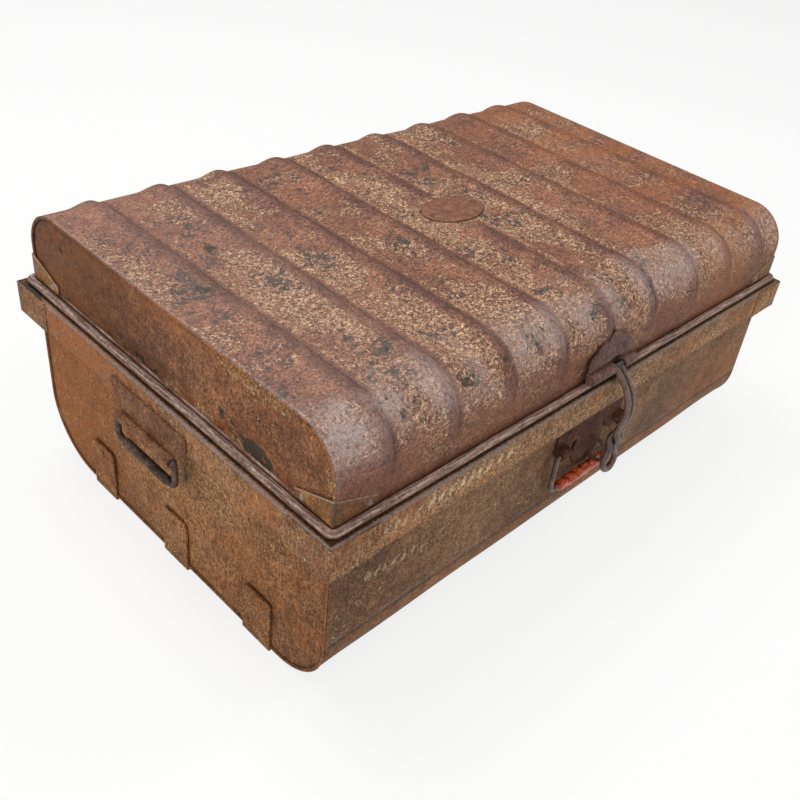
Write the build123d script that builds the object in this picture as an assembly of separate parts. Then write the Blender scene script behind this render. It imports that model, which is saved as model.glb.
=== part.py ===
"""A small sheet-metal trunk with a ribbed, hinged lid, a hasp, a staple and three bail handles.

The origin is the middle of the footprint on the floor. X runs along the trunk, the front
with its hasp faces -Y, and Z is up. All sizes are in millimetres.
"""
from build123d import *
from math import asin, cos, sin
import os

# Sheet metal
sheet = 1.0                     # thickness of the body, lid and collar sheets
fitting_plate = 2.0             # thickness of hinge leaves, hasp plate, handle plates and runners
corner_sheet = 1.0              # thickness of the corner plates and gussets
running_gap = 0.3               # between flat faces that move past each other
pin_clearance = 0.08            # radial, between a pin or trunnion and its barrel
shank_clearance = 0.05          # radial, between a rivet's shank and its hole

# Body
body_length = 700.0
body_depth = 450.0
collar_top = 204.0              # height of the body's rim over the floor
front_radius = 62.0             # rounding of the lower front edge
back_radius = 72.0              # rounding of the lower back edge
lap = 14.0                      # how far the bottom sheet runs up behind the front and back sheets
pan_flange = 10.0               # depth of the flange folded round each end panel

# Collar, a channel-shaped strip round the top of the body
collar_height = 34.0
collar_reach = 13.0             # how far it stands out from the walls
corner_leg = 52.0               # length of each corner plate's leg along the collar
corner_rivet_inset = 6.0        # from the end of the leg
corner_rivet_drop = 8.0         # from the top of the collar

# Runners under the bottom, their ends turned up on the end panels
runner_width = 40.0
runner_margin = 8.0             # from the outer runners to where the bottom starts to curve
runner_end_height = 60.0
runner_end_corner = 7.0
runner_rivet_drop = 9.0

# Lid
lid_height = 88.0               # from the top of the collar to the flat top
lid_radius = 44.0
rib_end_margin = 48.8           # from the lid's ends to the middles of the outermost ribs
rib_pairs = 4                   # ribs on each side of the middle one
rib_width = 34.0
rib_height = 3.5
rib_foot = 26.0                 # height over the collar at which the ribs end
rib_fade = 26.0                 # height over which a rib's end slopes out of the wall
bead_diameter = 8.5             # rolled edge round the lid's mouth
bead_wire_diameter = 6.0
bead_inner_bend = 0.5           # inner radius of the rolled edge at the corners
rim_flange = 8.0                # height of the rim's flange inside the lid's walls

# Gussets on the lid's lower corners
gusset_leg = 45.0
gusset_corner_height = 26.0
gusset_end_height = 9.0
gusset_foot = 7.5               # over the collar, just clear of the rolled edge
gusset_rivet_inset = 9.0
gusset_rivet_rise = 5.0

# Oval plate on the top of the lid
oval_length = 79.0
oval_width = 53.0
oval_sheet = 1.2
oval_rivet_inset = 7.5          # from the plate's ends
oval_rib_margin = 4.0           # between the plate and the ends of the middle rib

# Rivets
rivet_shank = 3.0
rivet_head = 7.0
rivet_head_height = 1.8
rivet_tail = 6.0
rivet_tail_height = 1.0

# Hasp plate and pin, on the front of the lid
hasp_x = 9.0                    # the hasp, its slot and the staple lie right of the middle
hasp_barrel_diameter = 11.6
hasp_pin_diameter = 5.0
hasp_barrel_rise = 14.5         # axis over the top of the collar
hasp_barrel_span = 74.0
hasp_slot = 16.0
hasp_slot_headroom = 3.5
hasp_foot_height = 6.0
hasp_top_lobe_radius = 12.0
hasp_top_lobe_rise = 29.5       # each lobe's centre over the pin
hasp_upper_lobe_radius = 13.0
hasp_upper_lobe_rise = 21.5
hasp_upper_lobe_x = 14.0
hasp_lower_lobe_radius = 12.5   # the lower lobes end level with the barrel and stand on its axis
hasp_rivet_x = 19.0
hasp_rivet_rise = 20.5
pin_head = 7.2
pin_head_height = 1.2

# Hasp, a rod folded in two with an eye at its end
hasp_rod = 7.0
hasp_bulge = 30.4               # out from the pin to the corner of the bow
hasp_bulge_drop = 26.9
hasp_neck = 17.2                # out from the pin to the narrow neck
hasp_neck_drop = 87.5
hasp_tip = 19.5                 # out from the pin to the end of the eye
hasp_tip_drop = 121.5
hasp_bend = 45.0
eye_width = 27.0
neck_bend = 10.0
shoulder_bend = 16.0
eye_bend = 9.0
fold_gap = 0.3                  # between the two strands
eye_shoulder = 15.0             # from the neck to the widest part of the eye

# Staple plate, staple and front bail, on the front of the body
staple_rod = 4.5
staple_height = 25.0            # between the legs
staple_drop = 93.0              # from the top of the collar to the middle of the staple
staple_gap = 0.4                # between the staple's bow and the back of the hasp
staple_bend = 6.0
staple_plate_overhang = 1.2     # of each ear's barrel past the plate's side
staple_plate_drop = 42.0        # from the top of the collar to the plate's top
staple_lobe_radius = 25.0
staple_lobe_x = 2.0
staple_ear_radius = 13.0
staple_rivet_inset = 18.5       # from the plate's sides
staple_rivet_drop = 12.5        # from the plate's top
front_bail_rod = 5.5
front_bail_width = 122.0        # between the middles of the legs
front_bail_pivot_drop = 71.0    # from the top of the collar
front_bail_pivot_out = 8.5      # from the wall
front_bail_drop = 45.0
front_bail_bend = 7.0
front_pivot_bend = 3.5          # where each leg turns into its ear
front_ear_length = 15.0
front_ear_wall = 2.0
grip_diameter = 12.0
grip_length = 100.0

# Handles on the ends, their plates riveted to the collar
handle_shift = 8.0              # towards the back, from the middle of the end
handle_plate_width = 120.0
handle_plate_top = 14.0         # drop from the top of the collar
handle_shoulder = 20.0          # height over the pivot at which the plate starts to narrow
handle_pivot_drop = 49.0
handle_plate_corner = 4.0
handle_rivet_inset = 6.0        # from the plate's sides
handle_rivet_drop = 25.0
handle_rod = 6.0
handle_bail_width = 93.0        # between the middles of the legs
handle_bail_drop = 27.0
handle_bail_bend = 8.0
handle_pivot_bend = 3.8         # where each leg turns into the barrel
handle_trunnion = 20.0
handle_barrel_wall = 2.0
handle_grip_diameter = 9.0
handle_grip_length = 70.0
handle_grip_taper = 1.4         # chamfer at each end of the bar

# Hinges at the back
hinge_ribs_out = 2.5            # place along X, in rib pitches, so that they lie between ribs
hinge_width = 36.0
hinge_barrel_diameter = 9.0
hinge_pin_diameter = 5.0
hinge_axis_rise = 2.0           # over the top of the collar
hinge_body_leaf = 30.0
hinge_lid_leaf = 36.0
hinge_rivet_side = 8.0           # in from the leaf's side
hinge_rivet_inset = 9.0

# Places worked out from the sizes
half_length = body_length / 2
half_depth = body_depth / 2
floor_of_body = fitting_plate
collar_bottom = collar_top - collar_height
wall_top = collar_top - sheet
front_seam = floor_of_body + front_radius
back_seam = floor_of_body + back_radius
lid_top = collar_top + lid_height
rib_pitch = (half_length - rib_end_margin) / rib_pairs
rim_bottom = collar_top + running_gap
lid_foot = rim_bottom + sheet
bead_radius = bead_diameter / 2
bead_out = bead_radius + running_gap
bead_height = rim_bottom + bead_radius
collar_face_x = half_length + collar_reach
collar_face_y = half_depth + collar_reach
rib_face = half_depth + rib_height

LEFT, RIGHT, FRONT, BACK = (-1, 0, 0), (1, 0, 0), (0, -1, 0), (0, 1, 0)
ENDS = {"left": -1, "right": 1}
CORNERS = {"front_left": (-1, -1), "front_right": (1, -1), "back_left": (-1, 1), "back_right": (1, 1)}


# Shared shapes

def box(x_range, y_range, z_range):
    """A box between two places on each axis."""
    size = [high - low for low, high in (x_range, y_range, z_range)]
    middle = [(high + low) / 2 for low, high in (x_range, y_range, z_range)]
    return Pos(*middle) * Box(*size)


def both(half):
    """The range from -half to half."""
    return (-half, half)


def ring(inner, outer, z_range):
    """A rectangular ring between two half sizes (x, y)."""
    return box(both(outer[0]), both(outer[1]), z_range) - box(both(inner[0]), both(inner[1]), z_range)


def rod_x(radius, x_range, y, z):
    """A round bar along X."""
    length = x_range[1] - x_range[0]
    return Pos((x_range[0] + x_range[1]) / 2, y, z) * Rot(0, 90, 0) * Cylinder(radius, length)


def rod_y(radius, y_range, x, z):
    """A round bar along Y."""
    length = y_range[1] - y_range[0]
    return Pos(x, (y_range[0] + y_range[1]) / 2, z) * Rot(90, 0, 0) * Cylinder(radius, length)


def bent_rod(points, radius, bend):
    """A round rod along a run of points, with every corner rounded to one bend radius."""
    path = FilletPolyline(*points, radius=bend)
    start = Plane(origin=path @ 0, z_dir=path % 0)
    return sweep(start * Circle(radius), path=path)


def rivet(seat, outward, grip):
    """A round-headed rivet whose head sits at seat and whose tail is peened grip below it."""
    shank, head, tail = rivet_shank / 2, rivet_head / 2, rivet_tail / 2
    foot = -grip - rivet_tail_height
    crown = (head ** 2 + rivet_head_height ** 2) / (2 * rivet_head_height)
    half_turn = asin(head / crown) / 2
    crest = (crown * sin(half_turn), rivet_head_height - crown + crown * cos(half_turn))
    outline = (Polyline((0, rivet_head_height), (0, foot), (tail, foot), (tail, -grip),
                        (shank, -grip), (shank, 0), (head, 0))
               + ThreePointArc((head, 0), crest, (0, rivet_head_height)))
    solid = revolve(make_face(Plane.XZ * outline), Axis.Z)
    return Plane(origin=seat, z_dir=outward).location * solid


def rivet_hole(seat, outward, grip):
    """The clearance hole for a rivet, through everything within its grip."""
    radius = rivet_shank / 2 + shank_clearance
    place = Plane(origin=seat, z_dir=outward).location * Pos(0, 0, -grip / 2)
    return place * Cylinder(radius, grip + 2 * sheet)


def drilled(piece, rivets):
    """The piece with a hole for each rivet (seat, outward, grip)."""
    for seat, outward, grip in rivets:
        piece -= rivet_hole(seat, outward, grip)
    return piece


def save(name, shape):
    """Write one node, whether it is one solid or a group of them."""
    pieces = shape if isinstance(shape, (list, tuple)) else [shape]
    solids = [solid for piece in pieces for solid in piece.solids()]
    export_step(solids[0] if len(solids) == 1 else Compound(children=solids), f"parts/{name}.step")


os.makedirs("parts", exist_ok=True)


# Rivet places, shared by the rivets and by every sheet that they go through

def corner_plate_rivets(corner):
    """One rivet in each leg of a corner plate, into the collar's web."""
    sx, sy = CORNERS[corner]
    inset = corner_leg - corner_rivet_inset
    height = collar_top - corner_rivet_drop
    grip = corner_sheet + sheet
    on_end = ((sx * (collar_face_x + corner_sheet), sy * (collar_face_y - inset), height), (sx, 0, 0), grip)
    on_side = ((sx * (collar_face_x - inset), sy * (collar_face_y + corner_sheet), height), (0, sy, 0), grip)
    return [on_end, on_side]


def gusset_rivets(corner):
    """One rivet in each leg of a gusset, through the lid's wall."""
    sx, sy = CORNERS[corner]
    inset = gusset_leg - gusset_rivet_inset
    height = collar_top + gusset_foot + gusset_rivet_rise
    grip = corner_sheet + sheet
    on_end = ((sx * (half_length + corner_sheet), sy * (half_depth - inset), height), (sx, 0, 0), grip)
    on_side = ((sx * (half_length - inset), sy * (half_depth + corner_sheet), height), (0, sy, 0), grip)
    return [on_end, on_side]


runner_low = -half_depth + sheet + front_radius + runner_margin + runner_width / 2
runner_high = half_depth - sheet - back_radius - runner_margin - runner_width / 2
RUNNERS = {"front": runner_low, "middle": (runner_low + runner_high) / 2, "back": runner_high}


def runner_rivets(side):
    """One rivet through the turned-up end of each runner, on one end panel."""
    height = runner_end_height - runner_rivet_drop
    x = side * (half_length + fitting_plate)
    return [((x, y, height), (side, 0, 0), fitting_plate + sheet) for y in RUNNERS.values()]


def handle_rivets(side):
    """Two rivets that hold a handle plate to the collar."""
    x = side * (collar_face_x + fitting_plate)
    height = collar_top - handle_rivet_drop
    reach = handle_plate_width / 2 - handle_rivet_inset
    ys = (handle_shift - reach, handle_shift + reach)
    return [((x, y, height), (side, 0, 0), fitting_plate + sheet) for y in ys]


oval_rivet_reach = oval_length / 2 - oval_rivet_inset
oval_rivet_places = [((x, 0, lid_top + oval_sheet), (0, 0, 1), oval_sheet + sheet)
                     for x in (-oval_rivet_reach, oval_rivet_reach)]
hasp_axis = (-rib_face - hasp_barrel_diameter / 2, collar_top + hasp_barrel_rise)      # (y, z)
hasp_rivet_places = [((side * hasp_rivet_x, -rib_face - fitting_plate, hasp_axis[1] + hasp_rivet_rise), FRONT,
                      fitting_plate + rib_height + sheet) for side in (-1, 1)]
front_pivot = (-half_depth - front_bail_pivot_out, collar_top - front_bail_pivot_drop)   # (y, z)
ear_outer = front_bail_width / 2 - front_pivot_bend - running_gap
staple_plate_half = ear_outer - staple_plate_overhang
staple_plate_top = collar_top - staple_plate_drop
staple_rivet_reach = staple_plate_half - staple_rivet_inset
staple_plate_rivet_places = [((x, -half_depth - fitting_plate, staple_plate_top - staple_rivet_drop), FRONT,
                              fitting_plate + sheet) for x in (-staple_rivet_reach, staple_rivet_reach)]
hinge_places = [side * hinge_ribs_out * rib_pitch for side in (-1, 1)]
hinge_axis = (collar_face_y + hinge_barrel_diameter / 2, collar_top + hinge_axis_rise)  # (y, z)


def hinge_body_rivets(x):
    """Two rivets from a body leaf into the collar's web."""
    height = hinge_axis[1] - hinge_body_leaf + hinge_rivet_inset
    return [((x + dx, collar_face_y + fitting_plate, height), BACK, fitting_plate + sheet)
            for dx in (hinge_rivet_side - hinge_width / 2, hinge_width / 2 - hinge_rivet_side)]


def hinge_lid_rivets(x):
    """Two rivets from a lid leaf into the lid's back wall."""
    height = hinge_axis[1] + hinge_lid_leaf + hinge_barrel_diameter / 2 - hinge_rivet_inset
    return [((x + dx, half_depth + fitting_plate, height), BACK, fitting_plate + sheet)
            for dx in (hinge_rivet_side - hinge_width / 2, hinge_width / 2 - hinge_rivet_side)]


# Body: front, back and bottom sheets, and the two end pans

def body_section(upper_inset, lower_inset, top, lap_rise=0.0):
    """The body's end outline, inset less above the laps than below them."""
    upper, lower = half_depth - upper_inset, half_depth - lower_inset
    floor = floor_of_body + lower_inset - sheet
    front_lap, back_lap = front_seam + lap + lap_rise, back_seam + lap + lap_rise
    tub = Pos(0, (floor + top) / 2) * Rectangle(2 * lower, top - floor)
    low_corners = tub.vertices().group_by(Axis.Y)[0].sort_by(Axis.X)
    tub = fillet(low_corners[0], front_radius + sheet - lower_inset)
    low_corners = tub.vertices().group_by(Axis.X)[-1].sort_by(Axis.Y)
    tub = fillet(low_corners[0], back_radius + sheet - lower_inset)
    front_half = Pos(-upper / 2, (front_lap + top) / 2) * Rectangle(upper, top - front_lap)
    back_half = Pos(upper / 2, (back_lap + top) / 2) * Rectangle(upper, top - back_lap)
    return Plane.YZ * (tub + front_half + back_half)


def bottom_sheet():
    """The bottom, rolled up at the front and back behind the side sheets."""
    outer = extrude(body_section(sheet, sheet, wall_top), half_length, both=True)
    inner = extrude(body_section(2 * sheet, 2 * sheet, wall_top + sheet), body_length, both=True)
    above_front_lap = box(both(body_length), (-body_depth, 0), (front_seam + lap, collar_top * 2))
    above_back_lap = box(both(body_length), (0, body_depth), (back_seam + lap, collar_top * 2))
    return outer - inner - above_front_lap - above_back_lap


def end_pan(side):
    """An end panel with a flange folded inward all round but its top."""
    depth = pan_flange + sheet
    outer = extrude(body_section(sheet, 2 * sheet, wall_top), depth)
    inner = extrude(body_section(2 * sheet, 3 * sheet, wall_top + sheet, lap_rise=sheet), depth)
    pan = outer - Pos(sheet, 0, 0) * inner
    if side > 0:
        pan = mirror(pan, about=Plane.YZ)
    pan = Pos(side * half_length, 0, 0) * pan
    return drilled(pan, runner_rivets(side))


front_wall = box(both(half_length), (-half_depth, -half_depth + sheet), (front_seam, wall_top))
back_wall = box(both(half_length), (half_depth - sheet, half_depth), (back_seam, wall_top))


# Collar: a channel of four mitred strips, corner plates over their joints

def collar_channel():
    """The whole collar: a web, a top flange over the wall's edge and a bottom flange to the wall."""
    wall = (half_length, half_depth)
    web_outer = (collar_face_x, collar_face_y)
    web_inner = (collar_face_x - sheet, collar_face_y - sheet)
    web = ring(web_inner, web_outer, (collar_bottom, collar_top))
    top = ring((half_length - sheet, half_depth - sheet), web_outer, (wall_top, collar_top))
    bottom = ring(wall, web_outer, (collar_bottom, collar_bottom + sheet))
    return web + top + bottom


def mitre(towards):
    """The wedge-shaped space that one strip of the collar takes up."""
    x, y = collar_face_x, collar_face_y
    skew = x - y
    if towards in (LEFT, RIGHT):
        sx = towards[0]
        corners = [(sx * x, y), (sx * x, -y), (sx * skew, 0)]
    else:
        sy = towards[1]
        corners = [(-x, sy * y), (x, sy * y), (skew, 0), (-skew, 0)]
    return Pos(0, 0, collar_bottom) * extrude(make_face(Polyline(*corners, close=True)), collar_height)


def corner_plate(corner):
    """An angle plate wrapped round a corner of the collar."""
    sx, sy = CORNERS[corner]
    x, y = collar_face_x + corner_sheet, collar_face_y + corner_sheet
    height = (collar_bottom, collar_top)
    whole = ring((collar_face_x, collar_face_y), (x, y), height)
    near = box(sorted((sx * x, sx * (collar_face_x - corner_leg))),
               sorted((sy * y, sy * (collar_face_y - corner_leg))), height)
    return drilled(whole & near, corner_plate_rivets(corner))


all_corner_rivets = [r for corner in CORNERS for r in corner_plate_rivets(corner)]
all_hinge_body_rivets = [r for x in hinge_places for r in hinge_body_rivets(x)]
channel = collar_channel()
collar = {}
for name, towards in {"front": FRONT, "back": BACK, "left": LEFT, "right": RIGHT}.items():
    held = [r for r in all_corner_rivets + handle_rivets(-1) + handle_rivets(1) + all_hinge_body_rivets
            if tuple(r[1]) == towards]
    collar[name] = drilled(channel & mitre(towards), held)


# Runners

def runner(y):
    """A strap under the bottom, its two ends turned up against the end panels."""
    x = half_length + fitting_plate
    width = (y - runner_width / 2, y + runner_width / 2)
    inside = box(both(half_length), width, (fitting_plate, collar_top))
    strap = box(both(x), width, (0, runner_end_height)) - inside
    tops = strap.edges().filter_by(Axis.X).group_by(Axis.Z)[-1]
    strap = fillet(tops, runner_end_corner)
    return drilled(strap, [r for side in (-1, 1) for r in runner_rivets(side) if r[0][1] == y])


# Staple plate, staple and front bail

ear_radius = front_bail_rod / 2 + pin_clearance + front_ear_wall
staple_middle = collar_top - staple_drop
plate_face = -half_depth - fitting_plate
hasp_back_at_neck = hasp_axis[0] - hasp_neck + hasp_rod / 2


def staple():
    """A bowed rod, its two legs riveted over inside the front sheet."""
    low, high = staple_middle - staple_height / 2, staple_middle + staple_height / 2
    bow = hasp_back_at_neck + staple_gap + staple_rod / 2
    inside = -half_depth + sheet
    path = [(hasp_x, inside, low), (hasp_x, bow, low), (hasp_x, bow, high), (hasp_x, inside, high)]
    piece = bent_rod(path, staple_rod / 2, staple_bend)
    for z in (low, high):
        piece += rod_y(rivet_tail / 2, (inside, inside + rivet_tail_height), hasp_x, z)
    return piece


def staple_holes():
    """The holes for the staple's legs."""
    radius = staple_rod / 2 + shank_clearance
    depth = (plate_face - sheet, -half_depth + 2 * sheet)
    return [rod_y(radius, depth, hasp_x, staple_middle + side * staple_height / 2) for side in (-1, 1)]


def staple_plate():
    """A lobed plate with an ear at each end that carries the front bail."""
    top, pivot = staple_plate_top, front_pivot[1]
    ear_x = staple_plate_half - staple_ear_radius
    plane = Plane(origin=(0, -half_depth, 0), x_dir=(1, 0, 0), z_dir=FRONT)
    outline = Pos(0, (top + pivot) / 2) * Rectangle(2 * staple_plate_half, top - pivot)
    outline += Pos(staple_lobe_x, staple_middle + staple_ear_radius / 2) * Circle(staple_lobe_radius)
    outline += [Pos(side * ear_x, pivot) * Circle(staple_ear_radius) for side in (-1, 1)]
    plate = extrude(plane * outline, fitting_plate)
    for side in (-1, 1):
        span = sorted((side * ear_outer, side * (ear_outer - front_ear_length)))
        plate += rod_x(ear_radius, span, *front_pivot)
        plate += box(span, (front_pivot[0], plate_face), (pivot, pivot + ear_radius))
    plate -= rod_x(front_bail_rod / 2 + pin_clearance, both(body_length), *front_pivot)
    for hole in staple_holes():
        plate -= hole
    return drilled(plate, staple_plate_rivet_places)


def front_bail():
    """A bent rod that hangs in the ears of the staple plate."""
    y, z = front_pivot
    leg, low = front_bail_width / 2, z - front_bail_drop
    end = ear_outer - front_ear_length + running_gap
    path = [(-end, y, z), (-leg, y, z), (-leg, y, low), (leg, y, low), (leg, y, z), (end, y, z)]
    bends = [front_pivot_bend, front_bail_bend, front_bail_bend, front_pivot_bend]
    return bent_rod(path, front_bail_rod / 2, bends)


def front_grip():
    """The sleeve round the bail's bar."""
    y, z = front_pivot[0], front_pivot[1] - front_bail_drop
    span = both(grip_length / 2)
    return rod_x(grip_diameter / 2, span, y, z) - rod_x(front_bail_rod / 2 + shank_clearance, span, y, z)


# Handles on the ends

handle_barrel_radius = handle_rod / 2 + pin_clearance + handle_barrel_wall
handle_axis = (collar_face_x + handle_barrel_radius, collar_top - handle_pivot_drop)     # (x, z)
handle_barrel = handle_bail_width / 2 - handle_pivot_bend - running_gap


def handle_plate(side):
    """A tapered plate riveted to the collar, its lower edge rolled into a barrel."""
    top, foot = collar_top - handle_plate_top, handle_axis[1]
    wide, narrow, shoulder = handle_plate_width / 2, handle_barrel, foot + handle_shoulder
    half = [(narrow, foot), (wide, shoulder), (wide, top)]
    corners = half + [(-u, v) for u, v in half[::-1]]
    plane = Plane(origin=(side * collar_face_x, handle_shift, 0), x_dir=(0, side, 0), z_dir=(side, 0, 0))
    outline = make_face(Polyline(*corners, close=True))
    outline = fillet(outline.vertices().group_by(Axis.Y)[-1], handle_plate_corner)
    plate = extrude(plane * outline, fitting_plate)
    span = (handle_shift - handle_barrel, handle_shift + handle_barrel)
    x, z = side * handle_axis[0], handle_axis[1]
    plate += rod_y(handle_barrel_radius, span, x, z)
    plate -= rod_y(handle_rod / 2 + pin_clearance, both(body_depth), x, z)
    return drilled(plate, handle_rivets(side))


def handle_bail(side):
    """A bent rod with a thicker bar, its ends turned into the barrel."""
    x, z = side * handle_axis[0], handle_axis[1]
    leg, low = handle_bail_width / 2, z - handle_bail_drop
    end = leg - handle_trunnion
    outline = [(-end, z), (-leg, z), (-leg, low), (leg, low), (leg, z), (end, z)]
    bends = [handle_pivot_bend, handle_bail_bend, handle_bail_bend, handle_pivot_bend]
    bail = bent_rod([(x, handle_shift + y, z) for y, z in outline], handle_rod / 2, bends)
    span = (handle_shift - handle_grip_length / 2, handle_shift + handle_grip_length / 2)
    bar = rod_y(handle_grip_diameter / 2, span, x, low)
    return bail + chamfer(bar.edges().filter_by(GeomType.CIRCLE), handle_grip_taper)


# Lid: ribbed sheet, two end pans, and a rim with a wired edge

def lid_section(inset, foot):
    """The lid's end outline: a flat top with rounded front and back edges."""
    half, top = half_depth - inset, lid_top - inset
    outline = Pos(0, (foot + top) / 2) * Rectangle(2 * half, top - foot)
    return Plane.YZ * fillet(outline.vertices().group_by(Axis.Y)[-1], lid_radius - inset)


def rib(x, inset):
    """One rib over the lid from front to back, or the hollow under it when inset by the sheet."""
    foot = collar_top + rib_foot + inset
    path = Plane.YZ * FilletPolyline((-half_depth, foot), (-half_depth, lid_top), (half_depth, lid_top),
                                     (half_depth, foot), radius=lid_radius)
    bend = (rib_width ** 2 / 4 + rib_height ** 2) / (2 * rib_height)
    radius, centre = bend - inset, bend - rib_height
    base = sheet / 2 if inset == 0 else 2 * sheet
    chord = 2 * (radius ** 2 - centre ** 2) ** 0.5
    bump = (Pos(0, centre) * Circle(radius)) & (Pos(0, -rib_height) * Rectangle(chord, 2 * rib_height))
    bump += Pos(0, base / 2) * Rectangle(chord, base)
    plane = Plane(origin=(0, -half_depth, foot), x_dir=(1, 0, 0), z_dir=(0, 0, 1))
    solid = sweep(plane * bump, path=path)
    skin, crest, start = half_depth - inset, half_depth + rib_height - inset, collar_top + rib_foot
    high, clear_of_rib = start + rib_fade, crest + rib_height
    slope = [(skin, start), (crest, high), (clear_of_rib, high), (clear_of_rib, 0), (skin, 0)]
    beyond = extrude(Plane.YZ * make_face(Polyline(*slope, close=True)), rib_width, both=True)
    solid = Pos(x, 0, 0) * (solid - beyond - mirror(beyond, about=Plane.XZ))
    if x == 0:
        clear = oval_width / 2 + oval_rib_margin + inset
        solid -= box(both(rib_width), both(clear), (lid_top - lid_radius / 2, lid_top + 2 * rib_height))
    return solid


def lid_sheet():
    """The sheet that wraps over the lid, with its pressed ribs."""
    sheet_metal = extrude(lid_section(0, lid_foot), half_length, both=True)
    places = [i * rib_pitch for i in range(-rib_pairs, rib_pairs + 1)]
    sheet_metal += [rib(x, 0) for x in places]
    sheet_metal -= extrude(lid_section(sheet, lid_foot - sheet), body_length, both=True)
    sheet_metal -= [rib(x, sheet) for x in places]
    held = [r for corner in CORNERS for r in gusset_rivets(corner)[1:]]
    held += oval_rivet_places + hasp_rivet_places + [r for x in hinge_places for r in hinge_lid_rivets(x)]
    return drilled(sheet_metal, held)


def lid_end(side):
    """The lid's end panel, with a flange folded inward above the rim."""
    depth = pan_flange + sheet
    outer = extrude(lid_section(sheet, lid_foot), depth)
    inner = extrude(lid_section(2 * sheet, lid_foot - sheet), depth)
    pan = outer - Pos(sheet, 0, 0) * inner
    pan -= box((sheet, depth), both(half_depth), (0, rim_bottom + rim_flange + running_gap))
    if side > 0:
        pan = mirror(pan, about=Plane.YZ)
    pan = Pos(side * half_length, 0, 0) * pan
    held = [gusset_rivets(corner)[0] for corner, (sx, sy) in CORNERS.items() if sx == side]
    return drilled(pan, held)


def bead(radius):
    """A round bar that follows the lid's mouth, just outside its walls."""
    x, y = half_length + bead_out, half_depth + bead_out
    corner = bead_radius + bead_inner_bend
    path = Pos(0, 0, bead_height) * RectangleRounded(2 * x, 2 * y, corner).wire()
    start = Plane(origin=path @ 0, z_dir=path % 0)
    return sweep(start * Circle(radius), path=path)


def lid_rim():
    """The rolled edge, the web under the walls and the flange inside them."""
    wall = (half_length - sheet, half_depth - sheet)
    inside = (wall[0] - sheet, wall[1] - sheet)
    flange = ring(inside, wall, (rim_bottom, rim_bottom + rim_flange))
    web = ring(inside, (half_length + bead_out, half_depth + bead_out), (rim_bottom, lid_foot))
    return flange + web + bead(bead_radius) - bead(bead_radius - sheet)


def gusset(corner):
    """A plate wrapped round a lower corner of the lid, lower at the ends of its legs."""
    sx, sy = CORNERS[corner]
    low = collar_top + gusset_foot
    high, end_high = low + gusset_corner_height, low + gusset_end_height
    side_place = Plane(origin=(0, half_depth + corner_sheet, 0), x_dir=(1, 0, 0), z_dir=(0, -1, 0))
    end_place = Plane(origin=(half_length, 0, 0), x_dir=(0, 1, 0), z_dir=(1, 0, 0))
    piece = Part()
    for place, edge in ((side_place, half_length), (end_place, half_depth)):
        start, finish = edge - gusset_leg, edge + corner_sheet
        leg = [(start, low), (finish, low), (finish, high), (edge, high), (start, end_high)]
        piece += extrude(place * make_face(Polyline(*leg, close=True)), corner_sheet)
    if sx < 0:
        piece = mirror(piece, about=Plane.YZ)
    if sy < 0:
        piece = mirror(piece, about=Plane.XZ)
    return drilled(piece, gusset_rivets(corner))


def oval_plate():
    """A plain oval plate on the flat of the lid."""
    plate = Pos(0, 0, lid_top) * extrude(Ellipse(oval_length / 2, oval_width / 2), oval_sheet)
    return drilled(plate, oval_rivet_places)


# Hasp plate, its pin and the hasp

def hasp_plate():
    """A plate with five lobes over the middle rib, its lower edge rolled into two barrels."""
    y, z = hasp_axis
    half = hasp_barrel_span / 2
    plane = Plane(origin=(0, -rib_face, 0), x_dir=(1, 0, 0), z_dir=FRONT)
    lower_x = half - hasp_lower_lobe_radius
    outline = Pos(0, z + hasp_top_lobe_rise) * Circle(hasp_top_lobe_radius)
    for across, height in ((half, hasp_foot_height), (lower_x, hasp_lower_lobe_radius),
                           (hasp_upper_lobe_x, hasp_upper_lobe_rise)):
        outline += Pos(0, z + height / 2) * Rectangle(2 * across, height)
    for side in (-1, 1):
        outline += Pos(side * lower_x, z + hasp_lower_lobe_radius) * Circle(hasp_lower_lobe_radius)
        outline += Pos(side * hasp_upper_lobe_x, z + hasp_upper_lobe_rise) * Circle(hasp_upper_lobe_radius)
    radius = hasp_barrel_diameter / 2
    plate = extrude(plane * outline, fitting_plate) + rod_x(radius, both(half), y, z)
    slot = (hasp_x - hasp_slot / 2, hasp_x + hasp_slot / 2)
    plate -= box(slot, (y - radius, -rib_face), (z - radius, z + radius + hasp_slot_headroom))
    plate -= rod_x(hasp_pin_diameter / 2 + pin_clearance, both(body_length), y, z)
    return drilled(plate, hasp_rivet_places)


def headed_pin(diameter, span, y, z):
    """A pin along X with a flat head at each end."""
    low, high = span
    pin = rod_x(diameter / 2, (low - pin_head_height, high + pin_head_height), y, z)
    for start in (low - pin_head_height, high):
        pin += rod_x(pin_head / 2, (start, start + pin_head_height), y, z)
    return pin


def hasp():
    """A rod folded in two: a knuckle on the pin, a bow, a neck, and an eye that leans out again."""
    y, z = hasp_axis
    radius = hasp_rod / 2
    piece = Pos(hasp_x, 0, 0) * rod_x(hasp_barrel_diameter / 2, both(hasp_slot / 2 - running_gap), y, z)
    bow = Vector(0, y - hasp_bulge, z - hasp_bulge_drop)
    neck = Vector(0, y - hasp_neck, z - hasp_neck_drop)
    tip = Vector(0, y - hasp_tip, z - hasp_tip_drop)
    shoulder = neck + (tip - neck).normalized() * eye_shoulder
    bends = [hasp_bend, neck_bend, shoulder_bend, eye_bend]
    strands = []
    for side in (-1, 1):
        near = Vector(hasp_x + side * (radius + fold_gap / 2), 0, 0)
        far = Vector(hasp_x + side * (eye_width / 2 - radius), 0, 0)
        strands.append([near + Vector(0, y, z), near + bow, near + neck, far + shoulder, far + tip])
    piece += bent_rod(strands[0] + strands[1][::-1], radius, bends + bends[::-1])
    return piece - rod_x(hasp_pin_diameter / 2 + pin_clearance, both(body_length), y, z)


# Hinges

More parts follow.
